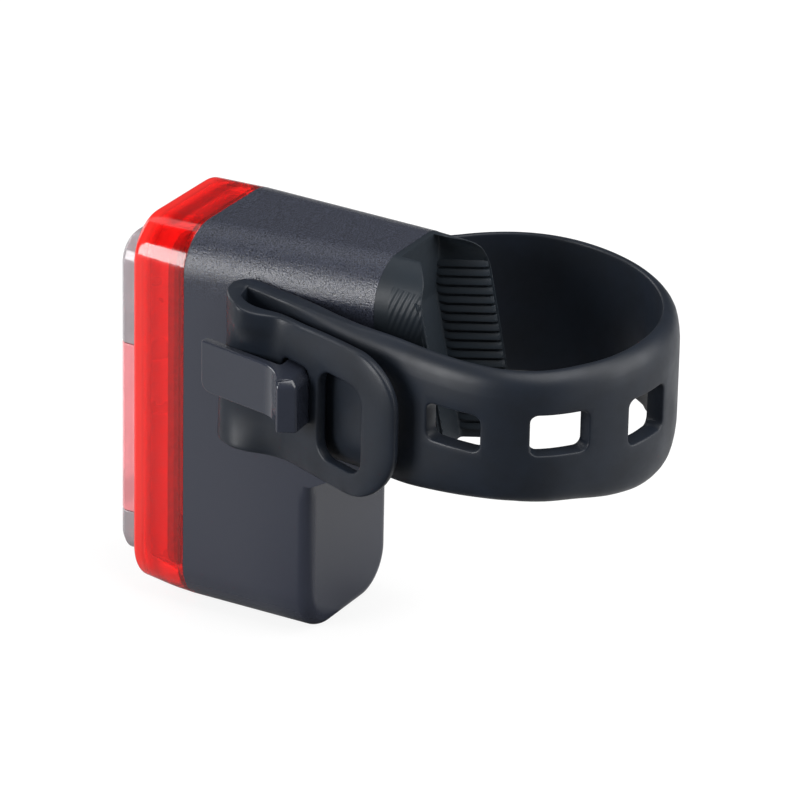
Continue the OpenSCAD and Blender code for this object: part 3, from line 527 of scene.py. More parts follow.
def resample(loop, step):
    closed = np.concatenate([loop, loop[:1]])
    out = []
    for a, b in zip(closed[:-1], closed[1:]):
        count = max(1, int(round(np.linalg.norm(b - a) / step)))
        out += [a + (b - a) * k / count for k in range(count)]
    return np.array(out)


def insetLoop(loop, d):
    before, after = np.roll(loop, 1, 0), np.roll(loop, -1, 0)
    a = (loop - before) / np.linalg.norm(loop - before, axis=1)[:, None]
    b = (after - loop) / np.linalg.norm(after - loop, axis=1)[:, None]
    na, nb = np.stack([-a[:, 1], a[:, 0]], 1), np.stack([-b[:, 1], b[:, 0]], 1)
    mid = na + nb
    mid /= np.maximum(np.linalg.norm(mid, axis=1), 1e-6)[:, None]
    return loop + mid * (d / np.maximum((mid * na).sum(1), 0.4))[:, None]


def edgeDistance(points, loops):
    best = np.full(len(points), 1e9)
    for loop in loops:
        a, b = loop, np.roll(loop, -1, 0)
        ab = b - a
        size = np.maximum((ab * ab).sum(1), 1e-12)
        for k in range(0, len(points), 2000):
            p = points[k:k + 2000, None, :]
            t = np.clip(((p - a) * ab).sum(2) / size, 0, 1)
            gap = np.linalg.norm(p - (a + ab * t[..., None]), axis=2).min(1)
            best[k:k + 2000] = np.minimum(best[k:k + 2000], gap)
    return best


def inside(points, loop):
    a, b = loop, np.roll(loop, -1, 0)
    x, y = points[:, None, 0], points[:, None, 1]
    cross = (a[:, 1] > y) != (b[:, 1] > y)
    hit = x < (b[:, 0] - a[:, 0]) * (y - a[:, 1]) / np.where(b[:, 1] == a[:, 1], 1e-9, b[:, 1] - a[:, 1]) + a[:, 0]
    return (cross & hit).sum(1) % 2 == 1


# outline and holes run counter-clockwise; the sheet ends flat at the low and high lengths
def cutSheet(outline, holes, sGrid, zGrid, low, high, rimSteps, holeSteps):
    loops = [insetLoop(outline, d) for d in rimSteps]
    loops += [insetLoop(h, -d) for h in holes for d in holeSteps]
    grid = np.stack(np.meshgrid(sGrid, zGrid), -1).reshape(-1, 2)
    keep = inside(grid, outline) & (edgeDistance(grid, [outline]) > rimSteps[-1] + 0.25)
    keep &= edgeDistance(grid, holes) > holeSteps[-1] + 0.2
    for h in holes:
        keep &= ~inside(grid, h)
    grid = grid[keep & (grid[:, 0] > low + 0.1) & (grid[:, 0] < high - 0.1)]
    points, edges = [tuple(p) for p in grid], []
    for loop in loops:
        first = len(points)
        points += [tuple(p) for p in loop]
        edges += [(first + k, first + (k + 1) % len(loop)) for k in range(len(loop))]
    for s in (low, high):
        first = len(points)
        zs = np.linspace(outline[:, 1].min() - 1, outline[:, 1].max() + 1, 20)
        points += [(s, z) for z in zs]
        edges += [(first + k, first + k + 1) for k in range(len(zs) - 1)]
    made = delaunay_2d_cdt([Vector(p) for p in points], edges, [], 0, 1e-5)
    flat, faces = np.array([tuple(v) for v in made[0]]), np.array([list(f) for f in made[2]])
    middle = flat[faces].mean(1)
    keep = inside(middle, outline) & (middle[:, 0] > low) & (middle[:, 0] < high)
    for h in holes:
        keep &= ~inside(middle, h)
    faces = faces[keep]
    used = np.unique(faces)
    order = -np.ones(len(flat), int)
    order[used] = np.arange(len(used))
    flat, faces = flat[used], order[faces]
    return flat, faces, edgeDistance(flat, [outline]), edgeDistance(flat, holes)


# how far a surface falls towards an edge: reach along the surface, depth through the strap
def edgeFall(d, reach, depth):
    t = 1 - np.clip(d / reach, 0, 1)
    return depth * (1 - np.sqrt(np.maximum(1 - t * t, 0)))


def sheetSolid(flat, faces, outer, inner, place):
    count = len(flat)
    points = np.concatenate([place(flat, outer), place(flat, inner)])
    seen = {}
    for f in faces:
        for a, b in ((f[0], f[1]), (f[1], f[2]), (f[2], f[0])):
            key = (min(a, b), max(a, b))
            seen[key] = None if key in seen else (a, b)
    walls = [(a, b, b + count, a + count) for a, b in (p for p in seen.values() if p)]
    top = [tuple(f) for f in faces]
    return points, top + [tuple(f[::-1] + count) for f in faces] + walls


def strapOutline(path, lowAt, topAt, step=0.8):
    s = np.arange(0, path.length + step / 2, step)
    place, _ = path.at(s)
    low = np.stack([s, lowAt(s, place)], 1)
    top = np.stack([s, topAt(s, place)], 1)[::-1]
    return low, top


def sideLow(y, lowFar):
    return np.interp(y, [strapSet["foldY"], 20.0], [strapSet["foldLow"], lowFar])


# inner side of the strap from the hook's side to the loop, in plan
nearPlan = [(11.57, 12.0), (11.38, 14.2), (11.36, 16.0), (11.62, 18.0), (12.60, 21.7), (13.85, 25.6), (14.90, 29.2),
            (15.70, 32.5), (16.40, 36.0), (16.95, 39.3), (17.30, 42.5), (17.35, 45.6), (17.10, 48.5), (16.50, 51.2),
            (15.40, 53.6), (13.85, 55.8), (11.60, 57.75)]


def smoothLine(points, step=0.05):
    p = np.asarray(points, float)
    t = np.r_[0, np.cumsum(np.linalg.norm(np.diff(p, axis=0), axis=1))]
    dense = np.arange(0, t[-1] + step, step)
    out = []
    for k in (0, 1):  # natural cubic through the points
        n, h = len(t), np.diff(t)
        m, r = np.eye(n), np.zeros(n)
        for i in range(1, n - 1):
            m[i, i - 1:i + 2] = h[i - 1], 2 * (h[i - 1] + h[i]), h[i]
            r[i] = 6 * ((p[i + 1, k] - p[i, k]) / h[i] - (p[i, k] - p[i - 1, k]) / h[i - 1])
        c = np.linalg.solve(m, r)
        i = np.clip(np.searchsorted(t, dense) - 1, 0, n - 2)
        u, v, g = dense - t[i], t[i + 1] - dense, h[i]
        out.append((c[i] * v ** 3 + c[i + 1] * u ** 3) / (6 * g) + (p[i, k] / g - c[i] * g / 6) * v
                   + (p[i + 1, k] / g - c[i + 1] * g / 6) * u)
    return np.stack(out, 1)


def makeLoopStrap(s):
    c, m, half = s["loopCentre"], s["loopMid"], s["thick"] / 2
    farStart, farEnd = mirrored(nearFace(s["runOff"], 3.0)), mirrored(nearFace(s["runOff"], farSet["runEnd"]))
    circle = [(c[0] + 20.5 * math.cos(a), c[1] + 20.5 * math.sin(a)) for a in map(math.radians, (58, 66, 74, 82, 90))]
    inner = smoothLine(nearPlan + circle)[::-1]
    way = np.gradient(inner, axis=0)
    way /= np.linalg.norm(way, axis=1)[:, None]
    middle = inner + np.stack([way[:, 1], -way[:, 0]], 1) * -half
    stretches = [
        linePoints(farStart, farEnd),
        mirrored(arcPoints(farSet["bendCentre"], s["bend"], 180 + faceSet["draft"], 180 + farSet["loopEnd"])),
        arcPoints(c, m, 180 - farSet["loopEnd"], 91),
        middle[20:],
    ]
    path = StrapPath(stretches)
    cut = path.nearest(nearFace(s["runOff"], s["joinY"]))
    turn = path.nearest((c[0], c[1] + m))  # back of the loop
    near = lambda t: t > turn

    def topAt(t, p):
        y = p[:, 1]
        farRise = s["farRise"] * (1 - smoothStep(turn - 4, turn + 22, t))
        nearRise = 0.2 * smoothStep(28, 36, y) * smoothStep(turn + 6, turn + 20, t)
        return np.where(near(t) & (y < 30), softInterp(y, *runTop), s["top"] + farRise + nearRise)

    nearLow = lambda y: softInterp(y, [8.4, 16, 22, 30, 38, 44, 50, 54], [1.8, 2.4, 2.5, 2.6, 2.75, 3.6, 4.3, 4.5])
    farLow = lambda y: s["low"] - s["farDip"] * smoothStep(22, 32, y) * (1 - smoothStep(37, 46, y))
    backDip = ([-18, -10, -4, 2, 8, 14, 20], [0.3, 1.15, 1.8, 1.9, 1.3, 0.5, 0.25])
    backLow = lambda t: s["low"] - softInterp(t - turn, *backDip)

    def lowAt(t, p):
        y = p[:, 1]
        return np.where(near(t) & (y < 54), nearLow(y), np.where(t < turn - 20, farLow(y), backLow(t)))

    low, top = strapOutline(path, lowAt, topAt)
    r = s["endRound"]  # round free end on the far side
    t = np.radians(np.linspace(0, 90, 12))
    endTop = np.stack([r - r * np.sin(t), s["top"] - r + r * np.cos(t)], 1)
    endLow = np.stack([r - r * np.cos(t), s["low"] + r - r * np.sin(t)], 1)
    low, top = low[low[:, 0] > r + 0.3], top[top[:, 0] > r + 0.3]
    outline = np.concatenate([low, top, endTop, endLow])
    a = np.radians(np.linspace(0, 360, 33)[:-1])
    holes = [np.stack([s["studAt"] + s["studHole"] * np.cos(a), postPlace[2] + s["studHole"] * np.sin(a)], 1)]
    for angle, length, holeLow, holeTop in s["holes"]:
        at = path.nearest(np.add(c, 21.5 * np.array([math.cos(math.radians(angle)), math.sin(math.radians(angle))])))
        holes.append(resample(roundedLoop(at - length / 2, at + length / 2, holeLow, holeTop, 1.1), 0.5))
    hookAt = sorted(path.nearest(nearFace(s["runOff"] + off, y)) for off, y in ((1.0, 17.6), (2.2, 23.6)))
    holes.append(resample(roundedLoop(*hookAt, *s["hookHole"]), 0.5))
    sGrid = np.arange(0.4, path.length, 0.75)
    zGrid = np.linspace(s["foldLow"], s["foldTop"], 16)
    rimSteps, holeSteps = (0, 0.04, 0.13, 0.3, 0.6, 1.0, 1.5, 2.2, 3.2), (0, 0.04, 0.13, 0.3)
    flat, faces, dRim, dHole = cutSheet(outline, holes, sGrid, zGrid, -1, cut, rimSteps, holeSteps)
    joined = smoothStep(cut - 22, cut - 1, flat[:, 0])  # the fold's crisp rim takes over towards the cut
    reach, depth = 1.9 + (0.35 - 1.9) * joined, s["crown"] + (0.35 - s["crown"]) * joined
    bow = s["bow"] * np.clip(1 - dRim / 5.0, 0, 1) ** 2 * (1 - joined)
    outer = half - np.maximum(edgeFall(dRim, reach, depth) + bow, edgeFall(dHole, 0.3, 0.25))
    innerFace = -half + np.maximum(edgeFall(dRim, 0.3, 0.3), edgeFall(dHole, 0.3, 0.25))

    def place(flatPoints, h):
        p, out = path.at(flatPoints[:, 0])
        xy = p - out * h[:, None]
        z = flatPoints[:, 1] - s["droop"] * (xy[:, 1] - 42) * smoothStep(24, 44, xy[:, 1])
        return np.column_stack([xy, z])

    return makePiece("strap_loop_band", *sheetSolid(flat, faces, outer, innerFace, place), strapFinish)


# the far side's bend, worked out as the source does for a loop centre at +1.9
farSet = {"off": 1.9}


def setFarSide(s, f):
    n = np.array([math.cos(math.radians(faceSet["draft"])), math.sin(math.radians(faceSet["draft"]))])
    y = s["loopCentre"][1]
    drop = (f["off"] - faceSet["half"]) * n[0] + y * n[1] - s["runOff"]
    reach = math.sqrt((s["loopMid"] + s["bend"]) ** 2 - (s["bend"] - drop) ** 2)
    f["bendCentre"] = (f["off"] + (s["bend"] - drop) * n[0] + reach * n[1],
                       y + (s["bend"] - drop) * n[1] - reach * n[0])
    f["loopEnd"] = math.degrees(math.atan2(f["bendCentre"][1] - y, f["bendCentre"][0] - f["off"]))
    f["runEnd"] = (f["bendCentre"][1] - s["bend"] * n[1]) / n[0]


setFarSide(strapSet, farSet)


def makeTailStrap(s):
    draft, lean = math.radians(faceSet["draft"]), math.radians(s["tabLean"])
    c = np.array(s["loopCentre"])
    n, t = np.array([math.cos(lean), -math.sin(lean)]), np.array([math.sin(lean), math.cos(lean)])
    foldR = (s["tailOff"] - s["runOff"]) / 2
    foldCentre = nearFace(s["runOff"] + foldR, s["foldMid"])
    tailCentre = nearFace(s["tailOff"] + s["tailBend"], s["tailEnd"])
    d, curl = faceSet["draft"], 25  # the tab's end curls in at this radius
    stretches = [
        linePoints(nearFace(s["runOff"], s["joinY"] + 4), nearFace(s["runOff"], s["foldMid"])),
        arcPoints(foldCentre, foldR, 180 + d, 360 + d, 0.02),
        linePoints(nearFace(s["tailOff"], s["foldMid"]), nearFace(s["tailOff"], s["tailEnd"])),
        arcPoints(tailCentre, s["tailBend"], 180 + d, 180 - s["tabLean"]),
        linePoints(c + n * s["tabOff"] + t * s["tabStart"], c + n * s["tabOff"] + t * s["tabEnd"]),
        arcPoints(c + n * (s["tabOff"] - curl) + t * s["tabEnd"], curl, -s["tabLean"],
                  math.degrees(s["tabCurl"] / curl) - s["tabLean"]),
    ]
    path = StrapPath(stretches)
    cut = path.nearest(nearFace(s["runOff"], s["joinY"]))
    foldAt = path.nearest(foldCentre + (foldCentre - nearFace(s["runOff"] + foldR, s["foldMid"] + 1)) * foldR)
    tailStart = path.nearest(nearFace(s["tailOff"], s["foldMid"]))
    after = lambda q: q > foldAt
    tailTop = ([8.4, 11, 14, 17, 21, 25, 29.5, 33.5], [24.0, 23.6, 22.3, 21.7, 21.6, 21.95, 22.15, 22.2])
    tailLow = ([8.4, 12, 18, 26, 34], [1.9, 1.6, 0.95, 0.86, 0.85])
    topAt = lambda q, p: np.where(after(q), softInterp(p[:, 1], *tailTop), softInterp(p[:, 1], *runTop))
    lowAt = lambda q, p: np.where(after(q), softInterp(p[:, 1], *tailLow), sideLow(p[:, 1], s["low"]))
    low, top = strapOutline(path, lowAt, topAt, 0.5)
    end, rTop, rLow = path.length, 7.0, 9.0
    a = np.radians(np.linspace(0, 90, 16))
    endLow = np.stack([end - rLow + rLow * np.sin(a), 0.85 + rLow - rLow * np.cos(a)], 1)
    endTop = np.stack([end - rTop + rTop * np.cos(a), 22.2 - rTop + rTop * np.sin(a)], 1)
    low, top = low[low[:, 0] < end - rLow - 0.2], top[top[:, 0] < end - rTop - 0.2]
    outline = np.concatenate([low, endLow, endTop, top])
    slotFrom, slotTo = (path.nearest(c + n * s["tabOff"] + t * q) for q in (-8.5, 0.3))
    holes = [resample(roundedLoop(slotFrom, slotTo, *s["slot"]), 0.4)]
    tail = path.s > tailStart
    along = np.array([nearAlong(p) for p in path.points[tail]])
    hookAt = np.interp([18.1, 23.3], along, path.s[tail])
    holes.append(resample(roundedLoop(*hookAt, *s["tailHole"]), 0.4))
    fold = np.arange(foldAt - 3.2, foldAt + 3.2, 0.16)
    sGrid = np.r_[np.arange(0.3, foldAt - 3.2, 0.6), fold, np.arange(foldAt + 3.3, end, 0.6)]
    zGrid = np.linspace(s["tabLow"], s["foldTop"], 17)
    steps = (0, 0.05, 0.16, 0.35, 0.8, 1.4, 2.1, 2.8)
    flat, faces, dRim, dHole = cutSheet(outline, holes, sGrid, zGrid, cut, end + 1, steps, (0, 0.05, 0.16, 0.35))
    half = s["thick"] / 2
    border = 0.42 * np.clip(1 - dRim / 2.8, 0, 1) ** 2 * smoothStep(foldAt + 4, foldAt + 12, flat[:, 0])
    outer = half - np.maximum(edgeFall(dRim, 0.35, 0.35), edgeFall(dHole, 0.35, 0.35)) - border
    thin = s["thin"] * smoothStep(foldAt + 3, foldAt + 10, flat[:, 0])
    inner = -half + thin + np.maximum(edgeFall(dRim, 0.35, 0.35), edgeFall(dHole, 0.35, 0.35))

    def place(flatPoints, h):
        q, z = flatPoints[:, 0], flatPoints[:, 1]
        p, out = path.at(q)
        away = np.where(z > 12.6, z - 12.6, (12.6 - z) * 0.5)
        swell = s["swell"] * np.exp(-((p[:, 1] - 12.6) / 3.6) ** 2) * (0.12 + 0.88 * smoothStep(2.5, 8.0, away))
        lift = swell * smoothStep(foldAt - 0.8, foldAt + 3.2, q)
        side = np.array([math.cos(draft), math.sin(draft)])
        xy = p + out * h[:, None] + side * lift[:, None]
        lead = np.where(q > foldAt, 1 - smoothStep(0.5, 10, q - foldAt), 1 - smoothStep(0.5, 4.0, foldAt - q))
        xy[:, 1] -= s["foldLead"] * lead * (1 - smoothStep(6, 19, z))  # the fold's lower end reaches further forward
        return np.column_stack([xy, z])

    return makePiece("strap_tail_band", *sheetSolid(flat, faces, outer, inner, place), strapFinish)


def nearAlong(point):
    a = math.radians(faceSet["draft"])
    return -(point[0] - faceSet["half"]) * math.sin(a) + point[1] * math.cos(a)


loopStrap = makeLoopStrap(strapSet)
tailStrap = makeTailStrap(strapSet)
print("strap made", len(loopStrap.data.polygons), len(tailStrap.data.polygons))

# saddle pad: sections stacked in height, with a groove for the post
padSet = {"seam": 28.2, "low": -0.5, "lean": 12.0, "floorTop": 23.8, "skin": 0.8, "grooveHalf": 5.3, "rimHalf": 9.2,
          "grooveDeep": 7.0, "capRound": 4.2, "capZ": 24.8, "capY": 30.85, "crest": 0.9, "valley": 0.7,
          "side": 9.92, "corner": 6.4, "cornerZ": 22.63}


def filletPath(corners, radii, count=7):
    out = [corners[0]]
    for k in range(1, len(corners) - 1):
        a, b, c = (np.array(corners[j], float) for j in (k - 1, k, k + 1))
        u, v = (a - b) / np.linalg.norm(a - b), (c - b) / np.linalg.norm(c - b)
        half = math.acos(max(-1, min(1, float(u @ v)))) / 2
        back = min(radii[k] / math.tan(half), 0.45 * np.linalg.norm(a - b), 0.45 * np.linalg.norm(c - b))
        r = back * math.tan(half)
        middle = b + (u + v) / np.linalg.norm(u + v) * (r / math.sin(half))
        p, q = b + u * back - middle, b + v * back - middle
        sweep = math.atan2(p[0] * q[1] - p[1] * q[0], float(p @ q))
        for t in np.linspace(0, sweep, count):
            out.append((middle[0] + p[0] * math.cos(t) - p[1] * math.sin(t),
                        middle[1] + p[0] * math.sin(t) + p[1] * math.cos(t)))
    return np.array(out + [corners[-1]], float)


def spreadPoints(path, counts):
    out = []
    for a, b, n in zip(path[:-1], path[1:], counts):
        out += [a + (b - a) * k / n for k in range(n)]
    return np.array(out + [path[-1]])


def makePad(s):
    draft = math.tan(math.radians(faceSet["draft"]))
    zs = np.concatenate([np.linspace(s["low"], 22, 60), np.linspace(22.2, 28.9, 44)])
    rows = []
    for z in zs:
        floor = s["seam"] + (s["floorTop"] - z) * math.tan(math.radians(s["lean"]))
        rim = floor + s["grooveDeep"]
        over, capOver = z - s["cornerZ"], z - s["capZ"]
        pull = 0.0 if over < 0 else s["corner"] - math.sqrt(max(0.0, s["corner"] ** 2 - over ** 2))
        side = s["side"] - pull
        cap = s["capY"] + math.sqrt(max(0.01, s["capRound"] ** 2 - capOver ** 2)) if capOver > 0 else 99
        crestX = min(s["rimHalf"], side - 0.6)
        crest = np.array([crestX, rim])
        foot = np.array([min(s["grooveHalf"], crestX - 0.3), floor])
        shoulder = (side - (rim - s["seam"]) * draft * 0.8, rim - 0.2)
        corners = [(side, s["seam"]), shoulder, tuple(crest), tuple(foot), (0, floor)]
        half = filletPath(corners, [0, s["crest"], 0.4, s["valley"], 0])
        counts = [8] + [1] * 6 + [2] + [1] * 6 + [14] + [1] * 6 + [8]
        half = spreadPoints(half, counts)
        least = np.where(np.arange(len(half)) < 9, s["seam"], s["seam"] + s["skin"])
        half[:, 1] = np.minimum(np.maximum(half[:, 1], least), max(cap, s["seam"] + 0.02))
        full = np.concatenate([half, (half * [-1, 1])[::-1][1:]])
        rows.append(np.column_stack([full, np.full(len(full), z)]))
    points, width = np.concatenate(rows), len(rows[0])
    faces = []
    for r in range(len(rows) - 1):
        for k in range(width - 1):
            a = r * width + k
            faces.append((a, a + 1, a + width + 1, a + width))
        faces.append((r * width + width - 1, r * width, (r + 1) * width, (r + 1) * width + width - 1))
    lowSeam = rows[0] * [1, 0, 1] + [0, s["seam"], 0]  # the low end is closed strip by strip down to the seam
    first = len(points)
    points = np.concatenate([points, lowSeam])
    faces += [(k, k + 1, first + k + 1, first + k) for k in range(width - 1)]
    faces.append(tuple((len(rows) - 1) * width + k for k in range(width))[::-1])
    pad = makePiece("saddle_pad_rubber", points, faces, padFinish, 60)
    work = bmesh.new()
    work.from_mesh(pad.data)
    seamY = rowPoints((0, s["seam"], 0))[1]
    for edgeZ in (27.5, 26.8, 26.1, 25.4, 24.7, 24.0, 23.3):
        loose = [v for v in work.verts if v.co.y > seamY + 1e-5 and v.co.z > rowPoints((0, 0, edgeZ))[2]]
        bmesh.ops.smooth_vert(work, verts=loose, factor=0.5, use_axis_x=True, use_axis_y=True, use_axis_z=True)
    work.to_mesh(pad.data)
    work.free()
    return pad


saddlePad = makePad(padSet)
stand(saddlePad, "saddle_pad", slot="pad")


# one tree repeats a shape along a line; the pad's ribs use it
def repeatTree():
    tree = bpy.data.node_groups.new("repeatAlongLine", "GeometryNodeTree")
    tree.is_modifier = True
    sockets = {}
    for name, kind in (("Geometry", "NodeSocketGeometry"), ("Count", "NodeSocketInt"), ("Start", "NodeSocketVector"),
                       ("Step", "NodeSocketVector"), ("Finish", "NodeSocketMaterial")):
        sockets[name] = tree.interface.new_socket(name=name, in_out="INPUT", socket_type=kind).identifier
    tree.interface.new_socket(name="Geometry", in_out="OUTPUT", socket_type="NodeSocketGeometry")
    start, end = tree.nodes.new("NodeGroupInput"), tree.nodes.new("NodeGroupOutput")
    line = tree.nodes.new("GeometryNodeMeshLine")
    line.mode = "OFFSET"
    each = tree.nodes.new("GeometryNodeInstanceOnPoints")
    real = tree.nodes.new("GeometryNodeRealizeInstances")
    paint = tree.nodes.new("GeometryNodeSetMaterial")
    link = tree.links.new
    link(start.outputs["Count"], line.inputs["Count"])
    link(start.outputs["Start"], line.inputs["Start Location"])
    link(start.outputs["Step"], line.inputs["Offset"])
    link(line.outputs["Mesh"], each.inputs["Points"])
    link(start.outputs["Geometry"], each.inputs["Instance"])
    link(each.outputs["Instances"], real.inputs["Geometry"])
    link(real.outputs["Geometry"], paint.inputs["Geometry"])
    link(start.outputs["Finish"], paint.inputs["Material"])
    link(paint.outputs["Geometry"], end.inputs["Geometry"])
    return tree, sockets


repeatGroup, repeatSockets = repeatTree()


def repeatPiece(piece, count, start, step, finish):
    row = piece.modifiers.new("row", "NODES")
    row.node_group = repeatGroup
    values = {"Count": count, "Start": tuple(0.001 * c for c in start), "Step": tuple(0.001 * c for c in step),
              "Finish": finish}
    for name, value in values.items():
        row[repeatSockets[name]] = value
    return bakeModifiers(piece)


ribSet = {"count": 19, "pitch": 1.28, "first": 0.6, "proud": 0.5, "from": 0.1, "to": 7.7, "point": 1.2}


# a saw-tooth rib for each flank at height zero: foot sunk in the flank, point at the valley
def makeRibs(s, p):
    lean = math.tan(math.radians(p["lean"]))
    a = np.array([p["grooveHalf"], p["seam"] + p["floorTop"] * lean])
    b = np.array([p["rimHalf"], a[1] + p["grooveDeep"]])
    way = (b - a) / np.linalg.norm(b - a)
    out = np.array([-way[1], way[0]])
    points, faces = [], []
    for side in (1, -1):
        first = len(points)
        for t, grow in ((s["from"], 0.1), (s["from"] + s["point"], 1.0), (s["to"] - 0.5, 1.0), (s["to"], 0.55)):
            base = a + way * t
            for z, h in ((0.0, -0.5), (s["pitch"], -0.5), (0.78 * s["pitch"], 0.35 * s["proud"] * grow),
                         (0.34 * s["pitch"], s["proud"] * grow), (0.16 * s["pitch"], s["proud"] * grow),
                         (0.02, 0.1 * grow)):
                q = base + out * h
                points.append((side * q[0], q[1] - z * lean, z))
        for r in range(3):
            for k in range(6):
                i, j = first + r * 6 + k, first + r * 6 + (k + 1) % 6
                faces.append((i, j, j + 6, i + 6))
        faces += [tuple(first + k for k in range(6)), tuple(first + 18 + k for k in range(6))[::-1]]
    ribs = makePiece("saddle_ribs", points, faces, padFinish, 25)
    start, step = ((0, -s[k] * lean, s[k]) for k in ("first", "pitch"))
    return repeatPiece(ribs, s["count"], start, step, padFinish)


saddleRibs = makeRibs(ribSet, padSet)
stand(saddleRibs, slot="pad", body="light")
print("pad made")


# lens cap: one closed loft, outside, front recess, skirt and inside
lensSet = {"w": 24.8, "h": 56.0, "corner": 6.4, "deep": 8.6, "round": 1.0, "inset": 0.35, "lowerLift": 0.5,
           "plateW": 20.2, "plateH": 48.2, "plateR": 4.1, "plateY": -9.2, "rimY": -9.38,
           # inset, y and corner of the rings down the skirt and up the inside
           "skirt": ((2.06, 0.0, 4.34), (2.06, 3.0, 4.34), (3.16, 3.0, 3.24), (3.16, -1.5, 3.24),
                     (1.93, -1.5, 4.5), (2.45, -6.9, 4.4), (2.6, -7.3, 4.2), (3.0, -7.4, 3.9))}


def ringPoints(halfW, halfH, radius, y, cornerCount=14, sideCount=10):
    out = []
    corners = [(halfW - radius, halfH - radius, 0), (radius - halfW, halfH - radius, 90),
               (radius - halfW, radius - halfH, 180), (halfW - radius, radius - halfH, 270)]
    for k, (cx, cz, a) in enumerate(corners):
        t = np.radians(np.linspace(a, a + 90, cornerCount))
        arc = np.stack([cx + radius * np.cos(t), cz + radius * np.sin(t)], 1)
        nx, nz, na = corners[(k + 1) % 4]
        nextStart = np.array([nx + radius * math.cos(math.radians(na)), nz + radius * math.sin(math.radians(na))])
        out += list(arc)
        out += [arc[-1] + (nextStart - arc[-1]) * j / sideCount for j in range(1, sideCount)]
    out = np.array(out)
    return np.column_stack([out[:, 0], np.full(len(out), y), out[:, 1]])


def loftRings(rings):
    width = len(rings[0])
    faces = [(r * width + k, r * width + (k + 1) % width, (r + 1) * width + (k + 1) % width, (r + 1) * width + k)
             for r in range(len(rings) - 1) for k in range(width)]
    faces.append(tuple(range(width))[::-1])
    faces.append(tuple((len(rings) - 1) * width + k for k in range(width)))
    return np.concatenate(rings), faces


def makeLens(s):
    w, h = s["w"] / 2, s["h"] / 2
    ring = lambda inset, y, r: ringPoints(w - inset, h - inset, r, y)
    plate = lambda y: ringPoints(s["plateW"] / 2, s["plateH"] / 2, s["plateR"], y)
    rings = [plate(s["plateY"]), plate(s["rimY"])]
    for a in np.linspace(90, 0, 9):
        t = math.radians(a)
        inset, y = s["inset"] + s["round"] * (1 - math.cos(t)), -s["deep"] + s["round"] * (1 - math.sin(t))
        rings.append(ring(inset, y, s["corner"] - 0.6))
    for left in (1 - k / 6 for k in range(1, 6)):
        rings.append(ring(s["inset"] * left, (-s["deep"] + s["round"]) * left, s["corner"] - 0.6 * left))
    rings += [ring(0.0, -0.10, s["corner"]), ring(0.10, 0.0, s["corner"] - 0.1)]
    rings += [ring(*sizes) for sizes in s["skirt"]]
    for k, r in enumerate(rings):
        lift = s["lowerLift"] * smoothStep(2.0, 9.0, -r[:, 1]) if k < 14 else 0
        r[:, 2] += lift * np.clip(-r[:, 2] / 28, 0, 1)
    return makePiece("lens_shell", *loftRings(rings), lensFinish, 40)


lensShell = makeLens(lensSet)
stand(lensShell, "lens_cap", slot="lens")
print("lens made")

# hook: block, blade towards the lens and a hollow thumb ramp, with rounded corners
hookSet = {"tip": (5.6, 5.44), "ramp": (8.45, 16.1), "ridge": (12.95, 20.4), "end": (11.8, 22.9),
           "blade": 1.4, "block": 18.4, "low": 8.45, "top": 15.95, "corner": 1.6, "edge": 0.42}


def makeHook(s):
    tip, start, ridge, end = (np.array(s[k]) for k in ("tip", "ramp", "ridge", "end"))
    way = (start - tip) / np.linalg.norm(start - tip)
    knee = start + way * 2.6  # the ramp leaves along the blade and ends steep at the ridge
    ramp = [(1 - t) ** 2 * start + 2 * t * (1 - t) * knee + t * t * ridge for t in np.linspace(0, 1, 14)]
    under = np.array([-way[1], way[0]]) * s["blade"]
    inTip = tip + under
    inBlock = inTip + way * (s["block"] - inTip[1]) / way[1]
    outline = [(-1.2, end[1]), (-1.2, s["block"]), inBlock, inTip, tip] + ramp + [end]
    work = bmesh.new()
    low = [work.verts.new((*nearFace(o, y), s["low"])) for o, y in outline]
    high = [work.verts.new((*nearFace(o, y), s["top"])) for o, y in outline]
    work.faces.new(low)
    work.faces.new(high[::-1])
    n = len(outline)
    for k in range(n):
        work.faces.new((low[k], high[k], high[(k + 1) % n], low[(k + 1) % n]))
    flatEdges = [e for e in work.edges if abs(e.verts[0].co.z - e.verts[1].co.z) < 0.01]
    near = lambda e, y, z: all(abs(nearAlong(v.co) - y) < 0.6 and abs(v.co.z - z) < 0.01 for v in e.verts)
    tips = [e for e in flatEdges if near(e, tip[1], s["low"])]
    bmesh.ops.bevel(work, geom=tips, offset=s["corner"], segments=6, profile=0.5, affect="EDGES")
    cuts = [e for e in work.edges
            if all(v.co.z > s["top"] - 0.01 and nearAlong(v.co) > ridge[1] - 0.1 for v in e.verts)]
    bmesh.ops.bevel(work, geom=cuts, offset=0.9, segments=1, profile=0.5, affect="EDGES")
    bmesh.ops.recalc_face_normals(work, faces=work.faces)
    mesh = bpy.data.meshes.new("strap_hook_moulded")
    for face in work.faces:
        face.smooth = True
    for v in work.verts:
        v.co = Vector(rowPoints(v.co))
    work.to_mesh(mesh)
    work.free()
    mesh.materials.append(hookFinish)
    piece = bpy.data.objects.new("strap_hook_moulded", mesh)
    scene.collection.objects.link(piece)
    return easeEdges(piece, s["edge"] * 0.001, 3, 28)


strapHook = makeHook(hookSet)
stand(strapHook, "strap_hook", slot="hook")
print("hook made")

